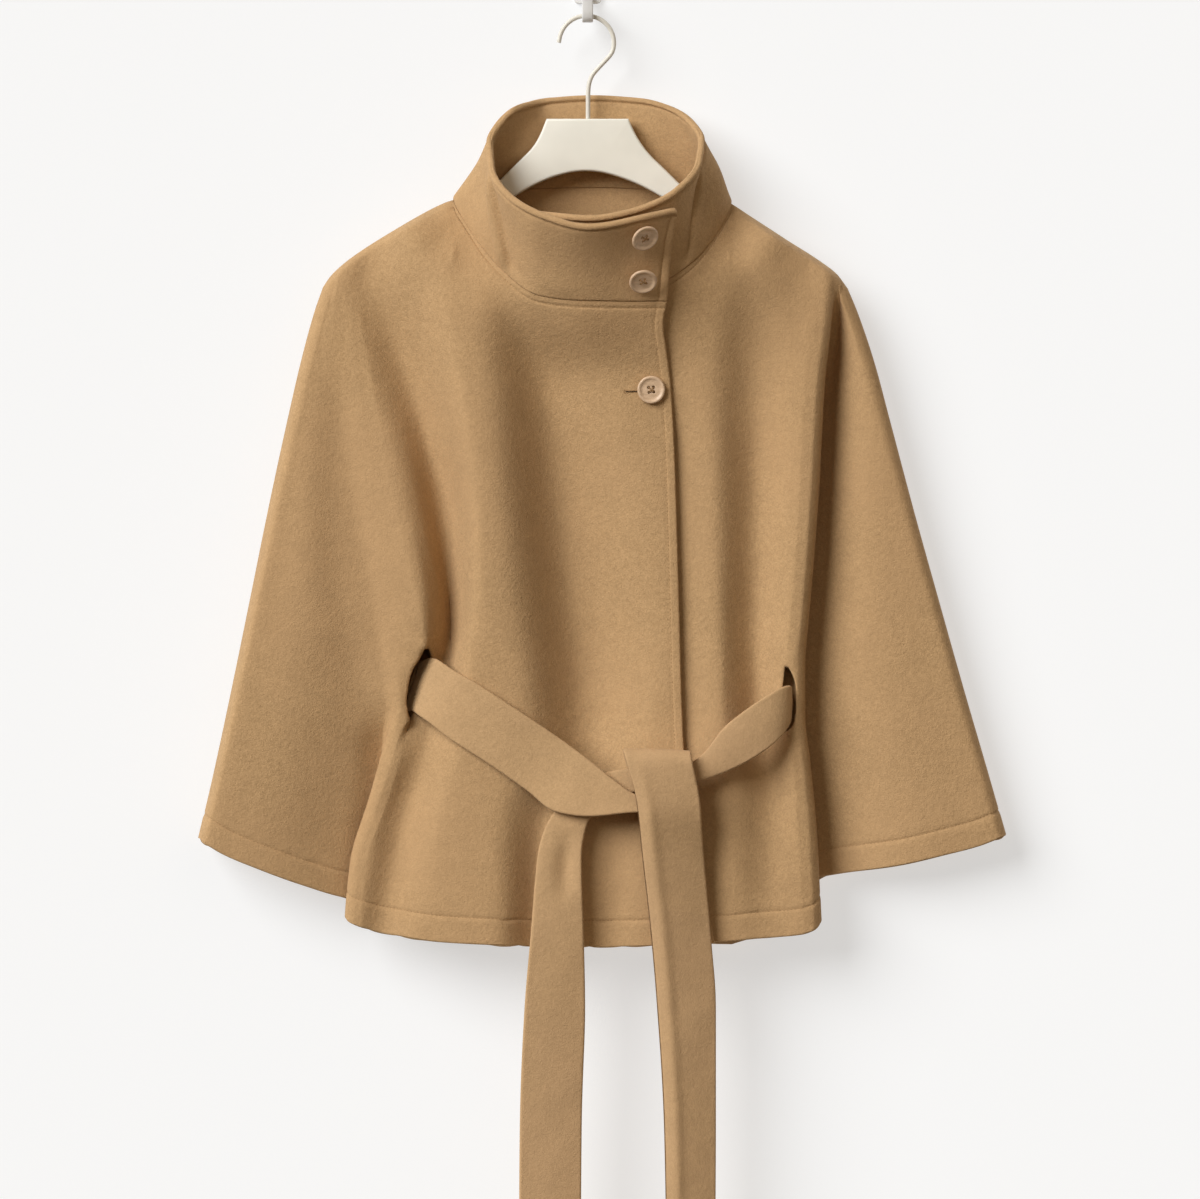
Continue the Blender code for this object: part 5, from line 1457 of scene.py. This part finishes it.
def hangerBoard():
    seat = cloth["thick"] / 2 + 3 * cloth["gap"]
    leftArm = [(x, float(shoulderLeft.at("z", x)) - seat) for x in (-222, -205, -180, -152)]
    rightArm = [(x, float(shoulderRight.at("z", x)) - seat) for x in (158, 180, 203, 219)]
    leftRise = [(-130, -204), (-104, -198), (-86, -184), (-69, -166.5), (-58, -156), (-48, -146)]
    leftRise += [(-42, -136), (-38, -126), (-36, hangerForm["top"])]
    rightRise = [(36, hangerForm["top"]), (39, -128), (44, -138), (54, -152), (68, -165), (84, -181)]
    rightRise += [(104, -198), (136, -208)]
    below = [(224, -274), (219, -284), (180, -262), (140, -240), (100, -214), (66, -189), (34, -173)]
    below += [(0, -164.5), (-34, -172), (-64, -188), (-100, -214), (-140, -238), (-180, -260)]
    below += [(-221, -284), (-227, -272)]
    outline = np.concatenate([
        roundedLine(leftArm + leftRise), roundedLine(rightRise + rightArm), roundedLine(below)
    ])
    outline = outline[np.linalg.norm(outline - np.roll(outline, 1, axis=0), axis=1) > 0.05]
    bm = bmesh.new()
    y = hang["shoulderY"] - hangerForm["thick"] / 2
    face = bm.faces.new([bm.verts.new((x * mm, y * mm, z * mm)) for x, z in outline])
    pushed = bmesh.ops.extrude_face_region(bm, geom=[face])["geom"]
    moved = [item for item in pushed if isinstance(item, bmesh.types.BMVert)]
    bmesh.ops.translate(bm, verts=moved, vec=(0, hangerForm["thick"] * mm, 0))
    rims = [edge for edge in bm.edges if abs(edge.verts[0].co.y - edge.verts[1].co.y) < 1e-6]
    rounding = {"offset": hangerForm["edge"] * mm, "segments": 4, "profile": 0.5, "affect": "EDGES"}
    bmesh.ops.bevel(bm, geom=rims, clamp_overlap=True, **rounding)
    bmesh.ops.triangulate(bm, faces=[face for face in bm.faces if len(face.verts) > 4])
    bmesh.ops.recalc_face_normals(bm, faces=bm.faces)
    return hardPiece("hangerBoard", bm, hangerPaint)


def hangerWire():
    shank = [(0.4, hangerForm["top"] + 0.3), (0.4, -106), (0.4, -96), (1.2, -88.5), (3.4, -82.6)]
    sweep = [(7.6, -77.8), (12.4, -73), (16.6, -68.2)]
    hook = []
    radius, (middleX, middleZ) = hangerForm["hookRadius"], hangerForm["hookCentre"]
    for k in range(19):
        angle = math.radians(-24 + k * (203 / 18))
        hook.append((middleX + radius * math.cos(angle), middleZ + radius * math.sin(angle)))
    route = np.array(shank + sweep + hook)
    reach = along(route, 0)
    even = np.linspace(0, reach[-1], 44)
    line = np.stack([np.interp(even, reach, route[:, axis]) for axis in (0, 1)], axis=-1)
    for _ in range(2):
        line[1:-1] = (line[:-2] + 2 * line[1:-1] + line[2:]) / 4
    line = roundedLine(line, 2)
    line = np.stack([line[:, 0], np.full(len(line), hang["shoulderY"]), line[:, 1]], axis=-1)
    return tubes("hangerWire", [line], hangerForm["wire"], hookCoat, 24)


wallForm = {
    "plate": (24, 3, 36),
    "plateCorner": 4,
    "plateEdge": 0.8,
    "strapHalf": 4.8,  # half the strap's width
    "strapFlat": (3.9, 0.6),  # half its width and its thickness within its rounded corners
    "strapCorner": 0.9,
    "tip": 4.4,  # how far its end is rounded
}


def wallHook():
    # a small plate with a flat strap that comes down, out and up under the wire
    wide, thick, tall = wallForm["plate"]
    bm = bmesh.new()
    bmesh.ops.create_cube(bm, size=1)
    bmesh.ops.scale(bm, vec=(wide * mm, thick * mm, tall * mm), verts=bm.verts)
    bmesh.ops.translate(bm, vec=(0, -thick / 2 * mm, 0), verts=bm.verts)
    upright = [edge for edge in bm.edges if abs(edge.verts[0].co.y - edge.verts[1].co.y) > 1e-6]
    corners = {"offset": wallForm["plateCorner"] * mm, "segments": 8, "profile": 0.5, "affect": "EDGES"}
    bmesh.ops.bevel(bm, geom=upright, **corners)
    fronts = [edge for edge in bm.edges if all(vert.co.y < -2.9 * mm for vert in edge.verts)]
    rounding = {"offset": wallForm["plateEdge"] * mm, "segments": 3, "profile": 0.5, "affect": "EDGES"}
    bmesh.ops.bevel(bm, geom=fronts, **rounding)
    # the seat fits under the wire, whose curve sags a little across the strap's width
    radius, corner = hangerForm["hookRadius"], wallForm["strapCorner"]
    sag = radius - math.sqrt(radius**2 - wallForm["strapHalf"] ** 2)
    seat = hangerForm["hookCentre"][1] + radius - hangerForm["wire"] - corner - sag
    y0 = hang["shoulderY"]
    line = [(-1.5, -8.0), (-7.0, -13.0), (-14.0, -21.5), (-20.0, seat + 0.7), (y0 + 3.5, seat - 1.3)]
    line += [(y0, seat - 1.5), (y0 - 3.6, seat - 0.7), (y0 - 5.6, seat + 3.4), (y0 - 6.6, seat + 8.0)]
    line = roundedLine(line + [(y0 - 8.6, -4.0)])
    way = unit(np.gradient(line, axis=0))
    side = np.stack([-way[:, 1], way[:, 0]], axis=-1)
    section = []
    flatX, flatY = wallForm["strapFlat"]
    turns = ((flatX, flatY, 0), (-flatX, flatY, 90), (-flatX, -flatY, 180), (flatX, -flatY, 270))
    for cx, cy, start in turns:
        for k in range(4):
            angle = math.radians(start + k * 30)
            section.append((cx + corner * math.cos(angle), cy + corner * math.sin(angle)))
    rings = []
    reach = along(line, 0)
    for place, out, run in zip(line, side, reach[-1] - reach):
        narrow = math.sqrt(max(1 - max(1 - run / wallForm["tip"], 0) ** 2, 0.02))
        ring = []
        for x, away in section:
            y, z = place + out * away
            ring.append(bm.verts.new((x * narrow * mm, y * mm, z * mm)))
        rings.append(ring)
    for first, second in zip(rings, rings[1:]):
        for a in range(len(section)):
            b = (a + 1) % len(section)
            bm.faces.new((first[a], first[b], second[b], second[a]))
    bm.faces.new(rings[0])
    bm.faces.new(list(reversed(rings[-1])))
    bmesh.ops.recalc_face_normals(bm, faces=bm.faces)
    return hardPiece("wallHook", bm, hookPaint)


board, wire, hook = hangerBoard(), hangerWire(), wallHook()
print("hanger and hooks ready")


threadStitches = stitchTree()
sewn = {}


def hemLine(skin, facing, first, last):
    row = len(skin) - 1 - drape["hemRows"][::-1].index(cloth["hemFold"])
    return skin[row, first:last], facing[row, first:last]


def neckLine(skin, facing, first, last):
    row = drape["topRows"].index(cloth["neckStitch"])
    return skin[row, first:last], facing[row, first:last]


columns = lappedSkin.shape[1]
lapLine = levelLine(
    lappedSkin[6:-4], lappedFacing[6:-4], lappedRuns["across"][6:-4], cloth["lapStitch"]
)
sewn["lapped"] = stitching(
    "lappedStitching",
    [
        hemLine(lappedSkin, lappedFacing, 4, columns - 4),
        neckLine(lappedSkin, lappedFacing, 4, lappedRuns["count"] - 2),
        lapLine,
    ],
    threadWoolPaintedShade,
)
columns = underSkin.shape[1]
sewn["under"] = stitching(
    "underStitching",
    [
        hemLine(underSkin, underFacing, 4, columns - 4),
        neckLine(underSkin, underFacing, 2, underRuns["count"] - 2),
    ],
    threadWoolPaintedShade,
)
columns = backSkin.shape[1]
sewn["back"] = stitching(
    "backStitching",
    [
        hemLine(backSkin, backFacing, 6, columns - 6),
        neckLine(backSkin, backFacing, backRuns["first"] + 2, backRuns["final"] - 2),
    ],
    threadWoolPaintedShade,
)


def collarLines(skin, facing):
    # below the rim and up both ends
    rimRow = skin.shape[0] - 1 - collarForm["rimRows"].index(collarForm["rimStitch"])
    lines = [(skin[rimRow, 8:-8], facing[rimRow, 8:-8])]
    for column in (9, skin.shape[1] - 10):
        lines.append((skin[4:rimRow, column], facing[4:rimRow, column]))
    return lines


neckSeam = tubes("neckSeam", [neckFrame(np.linspace(0.06, 14.94, 900))[0]], 0.6, threadWoolPaintedShade, 8)
sewn["collar"] = stitching(
    "collarStitching",
    collarLines(collarSkin, collarFacing) + collarLines(collarInside, -collarFacing),
    threadWoolPaintedShade,
    length=2.1,
    pitch=2.7,
)


def onSkin(skin, facing, x, z, columns):
    # the place and the facing of a skin where x, z lies on it, seen from the front
    part, ways = skin[:, columns].reshape(-1, 3), facing[:, columns].reshape(-1, 3)
    gap = np.hypot(part[:, 0] - x, part[:, 2] - z)
    close = np.argsort(gap)[:6]
    share = 1 / (gap[close] + 0.05)
    share = (share / share.sum())[:, None]
    return (part[close] * share).sum(0), unit((ways[close] * share).sum(0))


# cut is the radius of the near-black cord of painted shade along each slit
holeForm = {"half": 0.75, "cut": 0.42, "sink": 0.05, "pitch": 0.8, "length": 1.9, "thick": 0.62}


def buttonhole(name, skin, facing, columns, hole):
    # a cut worked round with close stitches, with a round eye at its start; the slit is a near-black
    # cord of painted shade
    start, end, eye = hole["start"], hole["end"], hole["eye"]
    span = np.array([end[0] - start[0], 0, end[1] - start[1]])
    length = float(np.linalg.norm(span))
    run = span / length
    up = np.array([-run[2], 0, run[0]])
    loop = []
    for k in range(25):
        angle = math.pi * (0.22 + 1.56 * k / 24)
        loop.append(run * eye * math.cos(angle) + up * eye * math.sin(angle))
    half = holeForm["half"]
    sides = [[run * d + up * side * half for d in np.linspace(eye, length, 22)] for side in (1, -1)]
    path = sides[0][::-1] + loop + sides[1]
    places, ways = [], []
    for step in path:
        place, way = onSkin(skin, facing, start[0] + step[0], start[1] + step[2], columns)
        places.append([start[0] + step[0], place[1], start[1] + step[2]])
        ways.append(way)
    places, ways = np.array(places), unit(np.array(ways))
    cut = []
    for d in np.linspace(0.2, length, 12):
        place, way = onSkin(skin, facing, start[0] + run[0] * d, start[1] + run[2] * d, columns)
        cut.append([start[0] + run[0] * d, place[1] - 0.12, start[1] + run[2] * d])
    # a near-black cord of painted shade stands where the slit's inside would be in shade
    dark = tubes(name + "SlitShade", [cut], holeForm["cut"], holeShade, 8)
    work = {key: holeForm[key] for key in ("sink", "pitch", "length", "thick")}
    return [stitching(name, [(places, ways)], threadWoolPaintedShade, across=True, **work), dark]


frontColumns = np.arange(lappedSkin.shape[1]) < lappedRuns["count"]
flapColumns = collarT < 2.6
frontCut = {"start": (33.0, -360.6), "end": (46.0, -360.2), "eye": 1.5}
collarCut = {"start": (30.0, -260.6), "end": (40.0, -261.0), "eye": 1.4}
frontHole = buttonhole("frontHole", lappedSkin, lappedFacing, frontColumns, frontCut)
collarHole = buttonhole("collarHole", collarSkin, collarFacing, flapColumns, collarCut)
print("sewing ready")


pieces = [
    (lapped, "front_over", "wool"),
    (under, "front_under", "wool"),
    (back, "back", "wool"),
    (collar, "collar", "wool"),
    (beltOver, "belt_over", "belt_wool"),
    (beltUnder, "belt_under", "belt_wool"),
    (beltTail, "belt_tail", "belt_wool"),
    (beltBack, "belt_back", "belt_wool"),
    (board, "hanger_body", "hanger_paint"),
    (wire, "hanger_hook", "hook_metal"),
    (hook, "wall_hook", "wall_paint"),
]
for piece, node, slot in pieces + [(button, node, "button") for button, node in buttons]:
    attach(piece, "root")
    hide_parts(node)
for piece in list(sewn.values()) + buttonThreads + frontHole + collarHole + [neckSeam]:
    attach(piece, "root")


room = {
    "wallTone": (0.42, 0.43, 0.44),
    "wallGlow": 0.563,
    "floorTone": (0.7, 0.7, 0.69),
    "keyAzimuth": -46,
    "keyHeight": 28,
    "keyAngle": 40,
    "keyStrength": 3.45,
    "fillAzimuth": 28,
    "fillHeight": 14,
    "fillAngle": 80,
    "fillStrength": 0.42,
    "fillTone": (1.0, 0.83, 0.63),
    "airTone": (1.0, 0.81, 0.58),
    "air": 0.09,
    "wallY": 0.0008,
    "floorZ": -1.75,
}
cameraPlace = {"at": (0.0109, -8.045, -0.542), "sensor": 36.0, "lens": 274.29}


def roomFinish(name, colour, oneSided):
    # a wall that is one-sided glows a little and is clear from behind
    made, tree, shader, at = finishBase(name)
    fine = noiseAt(tree, at, 60.0, 3.0)
    shader.inputs["Base Color"].default_value = (*colour, 1)
    shader.inputs["Roughness"].default_value = 0.95
    shader.inputs["Specular IOR Level"].default_value = 0.1
    bumped(tree, shader, fine, 0.0002, 0.2)
    if oneSided:
        shader.inputs["Emission Color"].default_value = (1.0, 1.0, 1.0, 1)
        shader.inputs["Emission Strength"].default_value = room["wallGlow"]
        output = tree.nodes["Material Output"]
        clear = shaderNode(tree, "ShaderNodeBsdfTransparent")
        side = shaderNode(tree, "ShaderNodeNewGeometry").outputs["Backfacing"]
        mix = shaderNode(tree, "ShaderNodeMixShader")
        feed(tree, mix, i0=side, i1=shader.outputs["BSDF"], i2=clear.outputs["BSDF"])
        tree.links.new(mix.outputs[0], output.inputs["Surface"])
    return made


def plane(name, corners, finish):
    mesh = bpy.data.meshes.new(name)
    mesh.from_pydata(corners, [], [(0, 1, 2, 3)])
    mesh.materials.append(finish)
    made = placed(name, mesh)
    return made


wallY, floorZ = room["wallY"], room["floorZ"]
wallPlane = plane(
    "wall",
    [(-4, wallY, floorZ), (4, wallY, floorZ), (4, wallY, 2.2), (-4, wallY, 2.2)],
    roomFinish("wallPlaster", room["wallTone"], True),
)
wallPlane.visible_shadow = False
floorPlane = plane(
    "floor",
    [(-8, -8, floorZ), (8, -8, floorZ), (8, 8, floorZ), (-8, 8, floorZ)],
    roomFinish("paleFloor", room["floorTone"], False),
)
floorPlane.visible_diffuse = False

world = bpy.data.worlds.new("softRoom")
world.use_nodes = True
air = world.node_tree.nodes["Background"]
air.inputs["Color"].default_value = (*room["airTone"], 1)
air.inputs["Strength"].default_value = room["air"]
scene.world = world


def skyLight(name, azimuth, height, angle, strength, colour=(1, 1, 1)):
    # even light from far away; azimuth 0 is from the front and negative is from the left
    data = bpy.data.lights.new(name, "SUN")
    data.energy, data.color, data.angle = strength, colour, math.radians(angle)
    made = placed(name, data)
    a, e = math.radians(azimuth), math.radians(height)
    toLight = Vector((math.sin(a) * math.cos(e), -math.cos(a) * math.cos(e), math.sin(e)))
    made.rotation_euler = toLight.to_track_quat("Z", "Y").to_euler()


skyLight("window", room["keyAzimuth"], room["keyHeight"], room["keyAngle"], room["keyStrength"])
skyLight(
    "bounce",
    room["fillAzimuth"],
    room["fillHeight"],
    room["fillAngle"],
    room["fillStrength"],
    room["fillTone"],
)

cameraData = bpy.data.cameras.new("camera")
cameraData.sensor_width, cameraData.lens = cameraPlace["sensor"], cameraPlace["lens"]
camera = placed("camera", cameraData)
camera.location = cameraPlace["at"]
camera.rotation_euler = (math.pi / 2, 0, 0)
scene.camera = camera
scene.view_settings.view_transform = "Standard"
scene.view_settings.look = "None"

print("scene ready")
